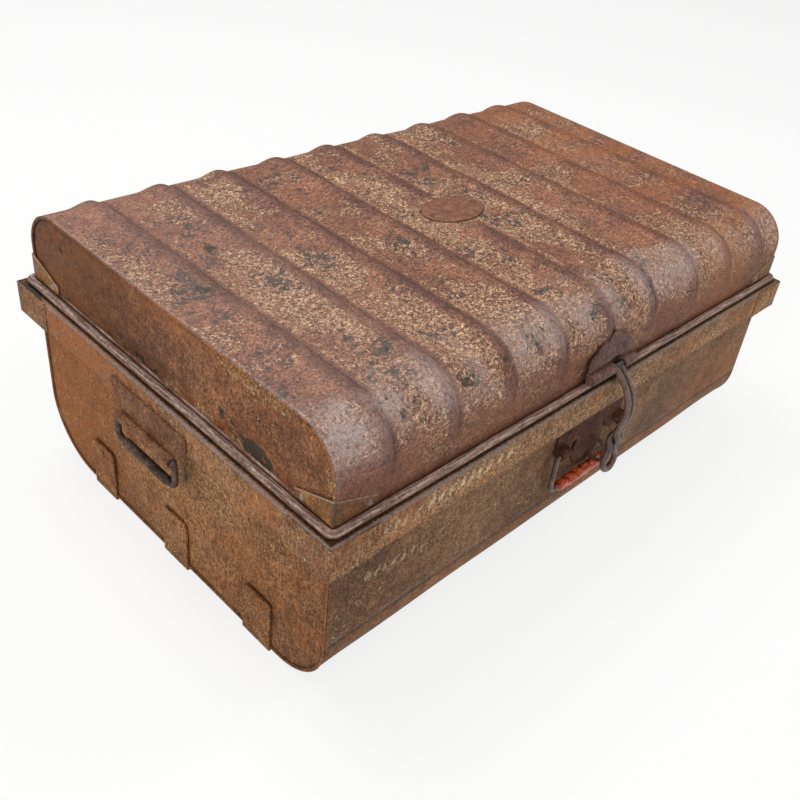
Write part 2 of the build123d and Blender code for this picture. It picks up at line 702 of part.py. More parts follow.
hinge_bore = hinge_pin_diameter / 2 + pin_clearance
hinge_knuckle = hinge_width / 3


def hinge_body_leaf_at(x):
    """A leaf on the collar with the two outer knuckles."""
    y, z = hinge_axis
    radius = hinge_barrel_diameter / 2
    span = (x - hinge_width / 2, x + hinge_width / 2)
    leaf = box(span, (collar_face_y, collar_face_y + fitting_plate), (z - hinge_body_leaf, z))
    leaf += rod_x(radius, span, y, z)
    gap = (x - hinge_knuckle / 2 - running_gap, x + hinge_knuckle / 2 + running_gap)
    leaf -= box(gap, (y - radius, y + radius), (z - radius - running_gap, z + radius))
    leaf -= rod_x(hinge_bore, both(body_length), y, z)
    return drilled(leaf, hinge_body_rivets(x))


def hinge_lid_leaf_at(x):
    """A leaf that steps over the rolled edge from the middle knuckle to the lid's back wall."""
    y, z = hinge_axis
    radius = hinge_barrel_diameter / 2
    step = bead_height + bead_radius + running_gap
    top = z + hinge_lid_leaf + radius
    wall = (half_depth, half_depth + fitting_plate)
    middle = both(hinge_knuckle / 2 - running_gap)
    whole = both(hinge_width / 2)
    leaf = box(whole, wall, (step, top))
    leaf += box(middle, (half_depth, y), (step, step + fitting_plate))
    leaf += box(middle, (y - radius, y - radius + fitting_plate), (z, step + fitting_plate))
    leaf += rod_x(radius, middle, y, z)
    leaf = Pos(x, 0, 0) * leaf - rod_x(hinge_bore, both(body_length), y, z)
    return drilled(leaf, hinge_lid_rivets(x))


# Write every node

save("body_front_sheet", drilled(front_wall - staple_holes(), staple_plate_rivet_places))
save("body_back_sheet", back_wall)
save("body_bottom_sheet", bottom_sheet())
for name, strip in collar.items():
    save(f"collar_{name}_strip", strip)
for corner in CORNERS:
    save(f"collar_corner_plate_{corner}", corner_plate(corner))
    save(f"lid_gusset_{corner}", gusset(corner))
for name, y in RUNNERS.items():
    save(f"runner_{name}", runner(y))
for name, side in ENDS.items():
    save(f"body_{name}_end", end_pan(side))
    save(f"lid_{name}_end", lid_end(side))
    save(f"{name}_handle_plate", handle_plate(side))
    save(f"{name}_bail", handle_bail(side))
    save(f"{name}_handle_rivets", [rivet(*r) for r in handle_rivets(side)])
save("staple_plate", staple_plate())
save("staple", staple())
save("front_bail", front_bail())
save("front_bail_grip", front_grip())
save("lid_sheet", lid_sheet())
save("lid_rim", lid_rim())
save("lid_rim_wire", bead(bead_wire_diameter / 2))
save("oval_plate", oval_plate())
save("hasp_plate", hasp_plate())
save("hasp_pin", headed_pin(hasp_pin_diameter, both(hasp_barrel_span / 2), *hasp_axis))
save("hasp", hasp())
for name, x in zip(ENDS, hinge_places):
    span = (x - hinge_width / 2, x + hinge_width / 2)
    save(f"hinge_{name}_body_leaf", hinge_body_leaf_at(x))
    save(f"hinge_{name}_lid_leaf", hinge_lid_leaf_at(x))
    save(f"hinge_{name}_pin", headed_pin(hinge_pin_diameter, span, *hinge_axis))
save("collar_corner_rivets", [rivet(*r) for r in all_corner_rivets])
save("runner_rivets", [rivet(*r) for side in (-1, 1) for r in runner_rivets(side)])
save("staple_plate_rivets", [rivet(*r) for r in staple_plate_rivet_places])
save("gusset_rivets", [rivet(*r) for corner in CORNERS for r in gusset_rivets(corner)])
save("oval_plate_rivets", [rivet(*r) for r in oval_rivet_places])
save("hasp_plate_rivets", [rivet(*r) for r in hasp_rivet_places])
save("hinge_body_rivets", [rivet(*r) for r in all_hinge_body_rivets])
save("hinge_lid_rivets", [rivet(*r) for x in hinge_places for r in hinge_lid_rivets(x)])
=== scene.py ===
"""A small tin trunk, long travelled: rusty paint, a ribbed lid, a collar, a hasp and three bails.

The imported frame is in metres: X along the trunk, the hasp towards -Y, Z up. The pieces' sizes here
are in mm, and the camera, the floor and the lamps are placed in metres.
"""
import math

import bmesh
import bpy
import numpy as np
from mathutils import Matrix, Vector


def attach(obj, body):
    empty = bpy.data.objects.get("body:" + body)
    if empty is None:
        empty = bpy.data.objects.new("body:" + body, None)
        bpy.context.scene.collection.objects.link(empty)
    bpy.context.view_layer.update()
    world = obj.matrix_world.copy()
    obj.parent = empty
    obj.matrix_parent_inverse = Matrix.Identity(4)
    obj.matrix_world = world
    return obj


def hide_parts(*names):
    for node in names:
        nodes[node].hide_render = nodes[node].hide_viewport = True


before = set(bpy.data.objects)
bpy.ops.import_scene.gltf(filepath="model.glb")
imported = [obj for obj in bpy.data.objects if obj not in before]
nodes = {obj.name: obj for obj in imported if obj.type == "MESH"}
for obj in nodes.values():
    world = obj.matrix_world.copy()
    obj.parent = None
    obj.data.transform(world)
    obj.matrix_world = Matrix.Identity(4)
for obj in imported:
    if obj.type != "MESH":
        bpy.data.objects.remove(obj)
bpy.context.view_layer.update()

# The camera stands above the front left corner, rolled a little as a hand-held one is, and its
# frame is shifted off the lens's axis.
azimuth, elevation, roll = (math.radians(angle) for angle in (-53.25, 34.66, 10.0))
camera_place = (-0.7043, -0.6030, 0.7238)
backward = Vector((math.sin(azimuth) * math.cos(elevation), -math.cos(azimuth) * math.cos(elevation),
                   math.sin(elevation)))
level = Vector((math.cos(azimuth), math.sin(azimuth), 0.0))
upright = backward.cross(level)
rightward = math.cos(roll) * level + math.sin(roll) * upright
upward = math.cos(roll) * upright - math.sin(roll) * level
camera = bpy.data.objects.new("camera", bpy.data.cameras.new("camera"))
camera.data.lens, camera.data.sensor_width = 42.38, 36.0
camera.data.shift_x, camera.data.shift_y = -0.1022, -0.0288
camera.data.clip_end = 20.0
turned = Matrix((rightward, upward, backward)).transposed().to_4x4()
camera.matrix_world = Matrix.Translation(camera_place) @ turned
bpy.context.scene.collection.objects.link(camera)
bpy.context.scene.camera = camera
bpy.context.scene.view_settings.view_transform = "Standard"


# A pale floor that shows as plain white paper, keeping a soft shadow under the trunk: a share of
# what is seen of it is its own glow, and the rest is lit paper.
def add(tree, kind, inputs=(), **settings):
    """One shader node; each input is a value, or a socket to link from."""
    made = tree.nodes.new("ShaderNode" + kind)
    for name, value in settings.items():
        setattr(made, name, value)
    for key, value in dict(inputs).items():
        if isinstance(value, bpy.types.NodeSocket):
            tree.links.new(value, made.inputs[key])
        else:
            made.inputs[key].default_value = value
    return made


def sums(tree, kind, a, b):
    """One sum of two values or sockets."""
    return add(tree, "Math", {0: a, 1: b}, operation=kind).outputs[0]


def blank_material(name):
    """A material with only its output node."""
    made = bpy.data.materials.new(name)
    made.use_nodes = True
    made.node_tree.nodes.clear()
    return made, made.node_tree, add(made.node_tree, "OutputMaterial")


def seen_directly(tree):
    """1 for rays that come straight from the camera, or by way of gloss or glass."""
    light_path = add(tree, "LightPath").outputs
    either = sums(tree, "MAXIMUM", light_path["Is Camera Ray"], light_path["Is Glossy Ray"])
    return sums(tree, "MAXIMUM", either, light_path["Is Transmission Ray"])


floor_reach, glow_share = 8, 0.80
floor_mesh = bpy.data.meshes.new("floor")
floor_corners = [(floor_reach * x, floor_reach * y, 0) for x, y in ((-1, -1), (1, -1), (1, 1), (-1, 1))]
floor_mesh.from_pydata(floor_corners, [], [(0, 1, 2, 3)])
floor = bpy.data.objects.new("floor", floor_mesh)
bpy.context.scene.collection.objects.link(floor)
floor_material, tree, output = blank_material("pale_floor")
paper = add(tree, "BsdfDiffuse", {"Color": (0.88, 0.88, 0.88, 1)})
glow = add(tree, "Emission", {"Color": (1, 1, 1, 1), "Strength": 1.0})
share = sums(tree, "MULTIPLY", seen_directly(tree), glow_share)
mixed = add(tree, "MixShader", {0: share, 1: paper.outputs[0], 2: glow.outputs[0]})
tree.links.new(mixed.outputs[0], output.inputs["Surface"])
floor_mesh.materials.append(floor_material)

# Soft daylight: an even sky, one wide lamp overhead, and weaker ones from the left, the right and
# the front. All are plain white or nearly so.
world = bpy.data.worlds.new("daylight")
bpy.context.scene.world = world
world.use_nodes = True
tree = world.node_tree
tree.nodes.clear()
sky = add(tree, "Background", {"Color": (1.0, 0.985, 0.96, 1), "Strength": 0.45})
white = add(tree, "Background", {"Color": (1, 1, 1, 1), "Strength": 1.0})
mixed = add(tree, "MixShader", {0: add(tree, "LightPath").outputs["Is Camera Ray"],
                                1: sky.outputs[0], 2: white.outputs[0]})
tree.links.new(mixed.outputs[0], add(tree, "OutputWorld").inputs["Surface"])


def soft_lamp(name, place, size, power):
    """A square area lamp that shines from its place at the trunk."""
    lamp = bpy.data.lights.new(name, "AREA")
    lamp.size, lamp.energy = size, power
    made = bpy.data.objects.new(name, lamp)
    made.location = place
    made.rotation_euler = (Vector((0, 0, 0.15)) - Vector(place)).to_track_quat("-Z", "Y").to_euler()
    bpy.context.scene.collection.objects.link(made)


soft_lamp("overhead", (-0.3, 0.9, 2.3), 1.1, 30)
soft_lamp("left_fill", (-2.4, -0.6, 1.2), 1.2, 17)
soft_lamp("right_sky", (1.5, -1.0, 1.9), 1.3, 14)
soft_lamp("front_fill", (0.2, -2.6, 1.1), 1.4, 9)


# Weathered paint, on all the sheet metal: thin paint over rust, worn to pale flecks in places and
# pitted to blue-black in others. Where hands and straps rub, it is smooth and bare of both.
def new_group(name, inputs, outputs):
    """An empty shader node group with named sockets, the inputs as (name, kind, default)."""
    tree = bpy.data.node_groups.new(name, "ShaderNodeTree")
    for label, kind, value in inputs:
        socket = tree.interface.new_socket(label, in_out="INPUT", socket_type="NodeSocket" + kind)
        socket.default_value = value
    for label, kind in outputs:
        tree.interface.new_socket(label, in_out="OUTPUT", socket_type="NodeSocket" + kind)
    return tree, tree.nodes.new("NodeGroupInput").outputs, tree.nodes.new("NodeGroupOutput").inputs


def step(tree, value, low, high, to_low=0.0, to_high=1.0):
    """A smooth step from to_low to to_high as value goes from low to high."""
    inputs = {"Value": value, "From Min": low, "From Max": high, "To Min": to_low, "To Max": to_high}
    return add(tree, "MapRange", inputs, interpolation_type="SMOOTHSTEP").outputs["Result"]


def noise(tree, vector, scale, detail=4.0, roughness=0.6, offset=0.0, swirl=0.0):
    """A noise value around 0.5, with scale in waves a metre.

    offset picks another pattern, and swirl bends the pattern by itself.
    """
    if isinstance(scale, tuple) or offset:
        along = scale if isinstance(scale, tuple) else (scale,) * 3
        moved = {"Vector": vector, "Scale": along, "Location": (offset,) * 3}
        vector = add(tree, "Mapping", moved).outputs[0]
        scale = 1.0
    inputs = {"Vector": vector, "Scale": scale, "Detail": detail, "Roughness": roughness,
              "Distortion": swirl}
    return add(tree, "TexNoise", inputs).outputs["Fac"]


def blend(tree, share, a, b):
    """Colour a turned into colour b by share."""
    return add(tree, "Mix", {0: share, 6: a, 7: b}, data_type="RGBA").outputs[2]


def shade(tree, colour, strength):
    """A colour made lighter or darker."""
    return add(tree, "VectorMath", {0: colour, "Scale": strength}, operation="SCALE").outputs[0]


rust_colour, black_paint = (0.33, 0.105, 0.024, 1), (0.032, 0.031, 0.024, 1)
paint_masks = ("Smooth", "Rubbed", "Stain", "Dark", "Rust", "Pale")
paint_colours = ("Paint", "Faded", "Fleck", "Pit", "Bare", "Grey")
paint_amounts = ("Flecks", "Pits", "Streaks", "Grain")
weathered, ins, outs = new_group(
    "weathered_paint",
    [(label, "Color", (0.2, 0.1, 0.05, 1)) for label in paint_colours]
    + [(label, "Float", 0.0) for label in paint_amounts + paint_masks],
    [("Color", "Color"), ("Roughness", "Float"), ("Height", "Float")])
w = weathered
place = add(w, "TexCoord").outputs["Object"]
unworn = sums(w, "SUBTRACT", 1.0, ins["Smooth"])

# The paint itself: faded in patches, bare where it is rubbed smooth, mottled and gritty.
tone = sums(w, "ADD", sums(w, "MULTIPLY", noise(w, place, 8.0, 3.0), 0.5),
            sums(w, "MULTIPLY", noise(w, place, 45.0, 5.0, 0.7), 0.5))
colour = blend(w, step(w, tone, 0.42, 0.58), ins["Paint"], ins["Faded"])
bare = sums(w, "MULTIPLY", ins["Smooth"], step(w, tone, 0.3, 0.62, 1.0, 0.6))
colour = blend(w, bare, colour, ins["Bare"])
mottle = noise(w, place, 130.0, 5.0, 0.72, 2.0)
colour = shade(w, colour, step(w, mottle, 0.34, 0.66, 0.72, 1.28))
grit = noise(w, place, 430.0, 3.0, 0.75, 2.5)
colour = shade(w, colour, step(w, grit, 0.33, 0.67, sums(w, "SUBTRACT", 1.0, ins["Grain"]),
                               sums(w, "ADD", 1.0, ins["Grain"])))

# Streaks down the sides, and pale flecks: cover is how much of the paint they take, from patches
# of their own and the rubbed mask, and it lowers the height at which a grain turns pale.
drawn = noise(w, place, (520, 520, 30), 3.0, 0.6)
streak = sums(w, "MULTIPLY", step(w, drawn, 0.53, 0.68), sums(w, "MULTIPLY", ins["Streaks"], 0.6))
colour = blend(w, streak, colour, ins["Fleck"])
patches = sums(w, "MULTIPLY", sums(w, "SUBTRACT", noise(w, place, 24.0, 5.0, 0.66, 4.0), 0.5), 2.4)
dense = step(w, sums(w, "ADD", patches, ins["Rubbed"]), -0.07, 0.11)
cover = sums(w, "ADD", sums(w, "MULTIPLY", ins["Flecks"], dense), sums(w, "MULTIPLY", ins["Rubbed"], 0.6))
cover = sums(w, "MULTIPLY", cover, unworn)
cover = sums(w, "MINIMUM", cover, sums(w, "MAXIMUM", ins["Rubbed"], 0.95))
grains = noise(w, place, 300.0, 4.0, 0.75, 6.0, 0.9)
edge = sums(w, "SUBTRACT", 0.68, sums(w, "MULTIPLY", cover, 0.19))
flecked = step(w, sums(w, "SUBTRACT", grains, edge), -0.012, 0.028)
brighter = step(w, noise(w, place, 260.0, 3.0, 0.7, 4.5), 0.34, 0.66, 0.55, 1.25)
colour = blend(w, sums(w, "MULTIPLY", flecked, 0.85), colour, shade(w, ins["Fleck"], brighter))

# Dark gaps and cracks between the flecks, most where the flecks cover about half.
gaps = step(w, noise(w, place, 430.0, 3.0, 0.7, 7.0), 0.36, 0.47, 0.75, 0.0)
open_share = sums(w, "MINIMUM", cover, sums(w, "SUBTRACT", 2.0, cover))
colour = shade(w, colour, sums(w, "SUBTRACT", 1.0, sums(w, "MULTIPLY", gaps, open_share)))
from_crack = sums(w, "ABSOLUTE", sums(w, "SUBTRACT", noise(w, place, 165.0, 3.0, 0.6, 10.0), 0.5), 0.0)
cracks = step(w, from_crack, 0.004, 0.030, 1.0, 0.0)
cracks = sums(w, "MULTIPLY", cracks, sums(w, "ADD", open_share, 0.25))
colour = shade(w, colour, sums(w, "SUBTRACT", 1.0, sums(w, "MULTIPLY", cracks, 0.62)))

# Blue-black pits, found from grains in the same way.
cover = sums(w, "MULTIPLY", ins["Pits"], step(w, noise(w, place, 17.0, 4.0, 0.66, 8.0), 0.42, 0.64))
cover = sums(w, "MULTIPLY", sums(w, "ADD", cover, ins["Stain"]), unworn)
grains = noise(w, place, 190.0, 4.0, 0.66, 9.0)
edge = sums(w, "SUBTRACT", 0.72, sums(w, "MULTIPLY", cover, 0.22))
pitted = step(w, sums(w, "SUBTRACT", grains, edge), -0.008, 0.028)
colour = blend(w, sums(w, "MULTIPLY", pitted, 0.85), colour, ins["Pit"])

# Rust, grey (rubbed metal on some pieces, a painted highlight on others), black stains with ragged
# edges, and darkening: painted shade in some places, dirt in others.
rusted = sums(w, "MULTIPLY", ins["Rust"], step(w, noise(w, place, 150.0, 4.0, 0.65, 3.0), 0.36, 0.58))
colour = blend(w, sums(w, "MULTIPLY", rusted, 0.85), colour, rust_colour)
greyed = sums(w, "MULTIPLY", ins["Pale"], step(w, noise(w, place, 210.0, 4.0, 0.75, 5.0), 0.24, 0.68))
colour = blend(w, greyed, colour, ins["Grey"])
stained = step(w, sums(w, "ADD", ins["Stain"], noise(w, place, 70.0, 6.0, 0.72, 1.0)), 1.0, 1.07)
colour = blend(w, sums(w, "MULTIPLY", stained, 0.88), colour, black_paint)
colour = shade(w, colour, sums(w, "SUBTRACT", 1.0, sums(w, "MULTIPLY", ins["Dark"], 0.8)))
colour = shade(w, colour, step(w, noise(w, place, 800.0, 2.0, 0.6), 0.3, 0.7, 0.78, 1.22))
w.links.new(colour, outs["Color"])

# Flecks are duller and stand up, pits are sunk, and smooth places shine a little more.
rough = sums(w, "SUBTRACT", sums(w, "ADD", 0.66, sums(w, "MULTIPLY", flecked, 0.16)),
             sums(w, "MULTIPLY", ins["Smooth"], 0.10))
w.links.new(rough, outs["Roughness"])
relief = sums(w, "SUBTRACT", sums(w, "MULTIPLY", flecked, 0.5), sums(w, "MULTIPLY", pitted, 0.7))
relief = sums(w, "ADD", relief, sums(w, "MULTIPLY", mottle, 1.2))
w.links.new(sums(w, "ADD", relief, sums(w, "MULTIPLY", grit, 0.6)), outs["Height"])


def painted(name, colours, amounts, gloss=0.25, relief=0.5, dullness=1.0, grey=(0.26, 0.235, 0.235)):
    """Weathered paint with its own colours and wear; the masks come from the piece's attributes.

    colours are those of paint, faded paint, flecks, pits and bare metal, and amounts are those of
    flecks, pits, streaks and grain.
    """
    made, tree, output = blank_material(name)
    group = add(tree, "Group", node_tree=weathered)
    for label, value in zip(paint_colours, [*colours, grey]):
        group.inputs[label].default_value = (*value, 1)
    for label, value in zip(paint_amounts, amounts):
        group.inputs[label].default_value = value
    for label in paint_masks:
        mask = add(tree, "Attribute", attribute_name=label.lower())
        tree.links.new(mask.outputs["Fac"], group.inputs[label])
    bump = add(tree, "Bump", {"Height": group.outputs["Height"], "Strength": relief, "Distance": 0.0005})
    shader = add(tree, "BsdfPrincipled", {
        "Base Color": group.outputs["Color"],
        "Roughness": sums(tree, "MULTIPLY", group.outputs["Roughness"], dullness),
        "Specular IOR Level": gloss, "Normal": bump.outputs[0]})
    tree.links.new(shader.outputs[0], output.inputs["Surface"])
    return made


def dress(material, *names):
    """Gives one material to every slot of the named solids."""
    for name in names:
        for slot in nodes[name].material_slots:
            slot.material = material


# The body's front, bottom and back: three sheets of 1 mm tin, the bottom one bent up at the front
# and the back and lapped behind the two walls.
half_length, half_depth = 350.0, 225.0
tin = 1.0
body_low, body_top, front_turn, back_turn = 2, 203, 62, 72
front_lap, back_lap, lap = 64, 74, 14
middle = np.array([0, 0, 150.0])
front_paint = painted("front_paint", [(0.140, 0.064, 0.028), (0.222, 0.116, 0.055), (0.48, 0.34, 0.19),
                                      (0.055, 0.042, 0.034), (0.14, 0.07, 0.035)],
                      (0.55, 0.35, 0.18, 0.62), gloss=0.2, relief=0.6)


def bent_run(corners, bends, pitch, turn_pitch):
    """Points and unit tangents along straight runs joined by arcs, in two or three dimensions.

    A run is divided evenly. An arc from point e, with d the way in and n the way to its centre, is
    e + r (n (1 - cos t) + d sin t).
    """
    corners = np.array(corners, float)
    ways = np.diff(corners, axis=0)
    ways /= np.linalg.norm(ways, axis=1)[:, None]
    points, tangents, start = [], [], corners[0]
    for corner, bend, before, after in zip(corners[1:-1], bends, ways[:-1], ways[1:]):
        turn = math.acos(before @ after)
        inward = (after - before * (before @ after)) / math.sin(turn)
        trim = bend * math.tan(turn / 2)
        entry = corner - before * trim
        count = max(1, round(np.linalg.norm(entry - start) / pitch))
        points.append(start + np.linspace(0, 1, count, endpoint=False)[:, None] * (entry - start))
        tangents.append(np.tile(before, (count, 1)))
        count = max(3, math.ceil(turn * bend / turn_pitch))
        angle = np.linspace(0, turn, count, endpoint=False)[:, None]
        points.append(entry + bend * ((1 - np.cos(angle)) * inward + np.sin(angle) * before))
        tangents.append(np.cos(angle) * before + np.sin(angle) * inward)
        start = corner + after * trim
    count = max(1, round(np.linalg.norm(corners[-1] - start) / pitch)) + 1
    points.append(start + np.linspace(0, 1, count)[:, None] * (corners[-1] - start))
    tangents.append(np.tile(ways[-1], (count, 1)))
    return np.vstack(points), np.vstack(tangents)


def surface(name, grid, material, body, slot, loops=(), thick=0.0, inside=middle, **masks):
    """A mesh of quads over a grid of points (rows, columns, 3) in mm, facing away from inside.

    loops names the directions that close on themselves; coincident points are joined, and masks are
    values for each point that the material reads.
    """
    rows, columns = grid.shape[:2]
    index = np.arange(rows * columns).reshape(rows, columns)
    if "columns" in loops:
        index = np.hstack((index, index[:, :1]))
    if "rows" in loops:
        index = np.vstack((index, index[:1]))
    quads = np.stack((index[:-1, :-1], index[:-1, 1:], index[1:, 1:], index[1:, :-1]), -1).reshape(-1, 4)
    points = grid.reshape(-1, 3)
    a, b, c, d = points[quads].transpose(1, 0, 2)
    faces_out = (np.cross(c - a, d - b) * ((a + b + c + d) / 4 - inside)).sum() > 0
    if not faces_out:
        quads = quads[:, ::-1]
    mesh = bpy.data.meshes.new(name)
    mesh.from_pydata((points * 0.001).tolist(), [], quads.tolist())
    for label, values in masks.items():
        layer = mesh.attributes.new(label, "FLOAT", "POINT")
        everywhere = np.broadcast_to(values, grid.shape[:2])
        layer.data.foreach_set("value", np.ascontiguousarray(everywhere, np.float32).ravel())
    joined = bmesh.new()
    joined.from_mesh(mesh)
    bmesh.ops.remove_doubles(joined, verts=joined.verts, dist=1e-6)
    joined.to_mesh(mesh)
    joined.free()
    mesh.polygons.foreach_set("use_smooth", np.ones(len(mesh.polygons), bool))
    mesh.materials.append(material)
    made = bpy.data.objects.new(name, mesh)
    bpy.context.scene.collection.objects.link(made)
    if thick:
        wall = made.modifiers.new("wall", "SOLIDIFY")
        wall.thickness, wall.offset = thick * 0.001, -1.0
    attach(made, body)
    return made


def smooth(values, low, high):
    """The smooth step 3t^2 - 2t^3 of t, the share of the way from low to high."""
    t = np.clip((values - low) / (high - low), 0, 1)
    return t * t * (3 - 2 * t)


def waves(a, b, seed, longest, depth=1.0):
    """Gentle unevenness: a third of the sum of seven sines of random direction, length and start."""
    chance = np.random.default_rng(seed)
    total = 0
    for _ in range(7):
        turn = chance.uniform(0, math.pi)
        length = longest * chance.uniform(0.35, 1)
        shift = chance.uniform(0, 6)
        total = total + np.sin((a * math.cos(turn) + b * math.sin(turn)) * 2 * math.pi / length + shift)
    return total * depth / 3


def ridge(values, centre, width):
    """A bell, 1 at its centre and 0.37 a width away."""
    return np.exp(-((values - centre) / width) ** 2)


def spot(a, b, centre, size):
    """A soft round spot, or an oval one where size is a pair."""
    across, along = np.broadcast_to(size, 2)
    return np.exp(-((a - centre[0]) / across) ** 2 - ((b - centre[1]) / along) ** 2)


def strokes(x, z, seed, longest, low):
    """Slanted strokes about 13 mm apart, as dragging leaves them: a wavering sine of x - z / 2."""
    return smooth(np.sin((x - z * 0.5) * 0.5 + waves(x, z * 0, seed, longest, 2.5)), low, 0.5)


def wall_sheet(name, replaced, corners, bends, seed, marks, columns=120, pitch=6):
    """A sheet along the trunk: its bent section (y, z) carried along x, and dented in by waves.

    columns is how many points it has along x, and pitch is how far apart they are up the section.
    """
    section, along = bent_run(corners, bends, pitch, 5)
    across = np.linspace(-half_length + 1, half_length - 1, columns)
    x, y = np.meshgrid(across, section[:, 0], indexing="ij")
    z = np.broadcast_to(section[:, 1], x.shape)
    held = smooth(half_length - np.abs(x), 0, 30)
    held = held * smooth(z, body_low + 0.5, 30) * smooth(z, body_top + 1, 190)
    sunk = np.minimum(waves(x, z + y, seed, 260, 0.6) - 0.6, 0) * held
    grid = np.stack((x, y + np.sign(y) * np.abs(along[:, 1]) * sunk, z), -1)
    made = surface(name, grid, front_paint, "body", "body_paint", thick=tin, **marks(x, y, z))
    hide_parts(replaced)


def front_marks(x, y, z):
    """Worn rows of pale flecks, rust along the lower edge, a dark line at the lap, dirt patches and painted
    shade under the collar.
    """
    low_row = 0.5 * ridge(z, 118, 8) * smooth(x, -250, -225) * smooth(x, -120, -150)
    slanted = ridge(z + 0.12 * (x + 315), 129, 5.5) * smooth(x, -322, -314) * smooth(x, -232, -242)
    broken = smooth(waves(x, z * 0.4, 12, 44), -0.2, 0.7)
    # Painted shade in a band just under the collar, plus patches of dirt.
    dirt_and_shade = 0.15 * ridge(z, 168, 7) + 0.20 * smooth(waves(x, z, 15, 190), 0, 0.9)
    edges = ridge(np.abs(x), half_length - 1, 5)
    return {
        "rubbed": low_row * broken * 0.8 + 2.0 * slanted * strokes(x, z, 98, 70, -0.2),
        "pale": 0.35 * ridge(z, front_lap + 6, 2.4) * smooth(waves(x, z, 16, 90), -0.8, 0.3),
        "dark": 0.75 * ridge(z, front_lap + 0.5, 2.4) + dirt_and_shade,
        "rust": 0.9 * smooth(x, 120, 310) * smooth(z, 165, 60) + 0.35 * edges,
        "stain": 0.36 * spot(x, z, (-300, 150), 26),
        "smooth": 0.4 * smooth(waves(x, z, 14, 300), 0.3, 1)}


def back_marks(x, y, z):
    """Patches of rust and a dark line at the lap."""
    return {"rust": 0.5 * smooth(waves(x, z, 8, 240), 0, 1), "dark": 0.6 * ridge(z, back_lap, 1.5)}


def bottom_marks(x, y, z):
    """More rust where the trunk has stood, and dirt on the turns."""
    low = smooth(z, 30, 3)
    rust = 0.45 * low + 0.3 * smooth(waves(x, y, 3, 200), 0, 1) + 0.45 * ridge(z, 50, 12) * (y < 0)
    return {"rust": rust, "dark": 0.15 * low, "smooth": 0.5 * low}


tucked_depth = half_depth - tin
wall_sheet("body_front_wall", "body_front_sheet", [(-half_depth, body_top), (-half_depth, front_lap)], [],
           21, front_marks, columns=280, pitch=2.5)
wall_sheet("body_back_wall", "body_back_sheet", [(half_depth, back_lap), (half_depth, body_top)], [],
           22, back_marks)
wall_sheet("body_bottom", "body_bottom_sheet",
           [(-tucked_depth, front_lap + lap), (-tucked_depth, body_low), (tucked_depth, body_low),
            (tucked_depth, back_lap + lap)], [front_turn, back_turn], 23, bottom_marks)

# The body's ends: flat pans of tin, their edges folded round the walls and closed down into a
# narrow rolled seam. Rust has crept in along the seam, and rain has run down the panel.
end_paint = painted("end_paint", [(0.222, 0.086, 0.029), (0.322, 0.147, 0.056), (0.52, 0.34, 0.17),
                                  (0.050, 0.036, 0.028), (0.180, 0.082, 0.040)],
                    (0.55, 0.28, 0.40, 0.72), gloss=0.12, relief=0.6)
seam_steps = np.array([0, 0.5, 1.0, 1.6, 2.2, 2.8, 3.4, 4.0, 4.8, 6.0])
sharp = 0.6


def corner_cut(y, front, rear):
    """How far a rounded corner rises at each y: r - sqrt(r^2 - t^2), t being the way into the turn."""
    radius = np.where(y < 0, front, rear)
    into = np.clip(np.abs(y) - half_depth + radius, 0, radius)
    return radius - np.sqrt(radius ** 2 - into ** 2)


def end_panel(name, replaced, body, slot, material, side, span, turns, seed, marks):
    """A panel over a rounded oblong: x is the end's plane less f(d), where d is the way in from the edge.

    f is a half-round seam 3 mm wide, a groove inside it and then a flat, gently waved panel. turns
    are the radii at the bottom front, bottom back, top front and top back corners.
    """
    low, high = span
    turn = np.radians(np.linspace(0, 90, 15))
    columns = []
    for sign, radius in ((-1, max(turns[0], turns[2])), (1, max(turns[1], turns[3]))):
        arc = half_depth - radius * (1 - np.sin(turn))
        columns += list(sign * arc) + list(sign * (half_depth - seam_steps))
    flat = np.linspace(-half_depth + max(turns) + 5, half_depth - max(turns) - 5, 90)
    y = np.unique(np.round(np.concatenate((columns, flat)), 2))
    lows = low + corner_cut(y, turns[0], turns[1])
    highs = high - corner_cut(y, turns[2], turns[3])
    rim = seam_steps[-1]
    rows = [lows + step_in for step_in in seam_steps]
    rows += list(lows + rim + (highs - lows - 2 * rim) * np.linspace(0, 1, 34)[1:-1, None])
    rows += [highs - step_in for step_in in seam_steps[::-1]]
    z = np.array(rows)
    y = np.broadcast_to(y, z.shape)
    centre = (low + high) / 2
    low_radius, high_radius = np.where(y < 0, turns[0], turns[1]), np.where(y < 0, turns[2], turns[3])
    radius = np.where(z < centre, low_radius, high_radius)
    reach_y = np.abs(y) - half_depth + radius
    reach_z = np.abs(z - centre) - (high - low) / 2 + radius
    outside = np.hypot(np.maximum(reach_y, 0), np.maximum(reach_z, 0))
    outside += np.minimum(np.maximum(reach_y, reach_z), 0)
    depth = np.maximum(radius - outside, 0)
    seam = 1.1 * np.sqrt(np.clip(1 - ((depth - 1.7) / 1.8) ** 2, 0, 1)) * (depth < 3.5)
    groove = 1.0 * ridge(depth, 3.9, 0.7) + 0.5 * smooth(depth, 3.5, 5)
    bulge = waves(y, z, seed, 230, 0.8) * smooth(depth, 5, 60)
    grid = np.stack((side * (half_length - 0.6 + seam - groove + bulge), y, z), -1)
    found = {"dark": 0.75 * ridge(depth, 3.8, 0.9),
             "rust": 0.30 * smooth(depth, 3.4, 2.0) + 0.2 * smooth(depth, 14, 4),
             "pale": 0.4 * smooth(depth, 1.0, 0.2)}
    for label, values in marks(y, z, depth).items():
        found[label] = found.get(label, 0) + values
    made = surface(name, grid, material, body, slot, thick=tin, **found)
    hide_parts(replaced)


def spots(a, b, *placed):
    """Several soft spots together, each given as its depth, centre and size."""
    return sum(depth * spot(a, b, centre, size) for depth, centre, size in placed)


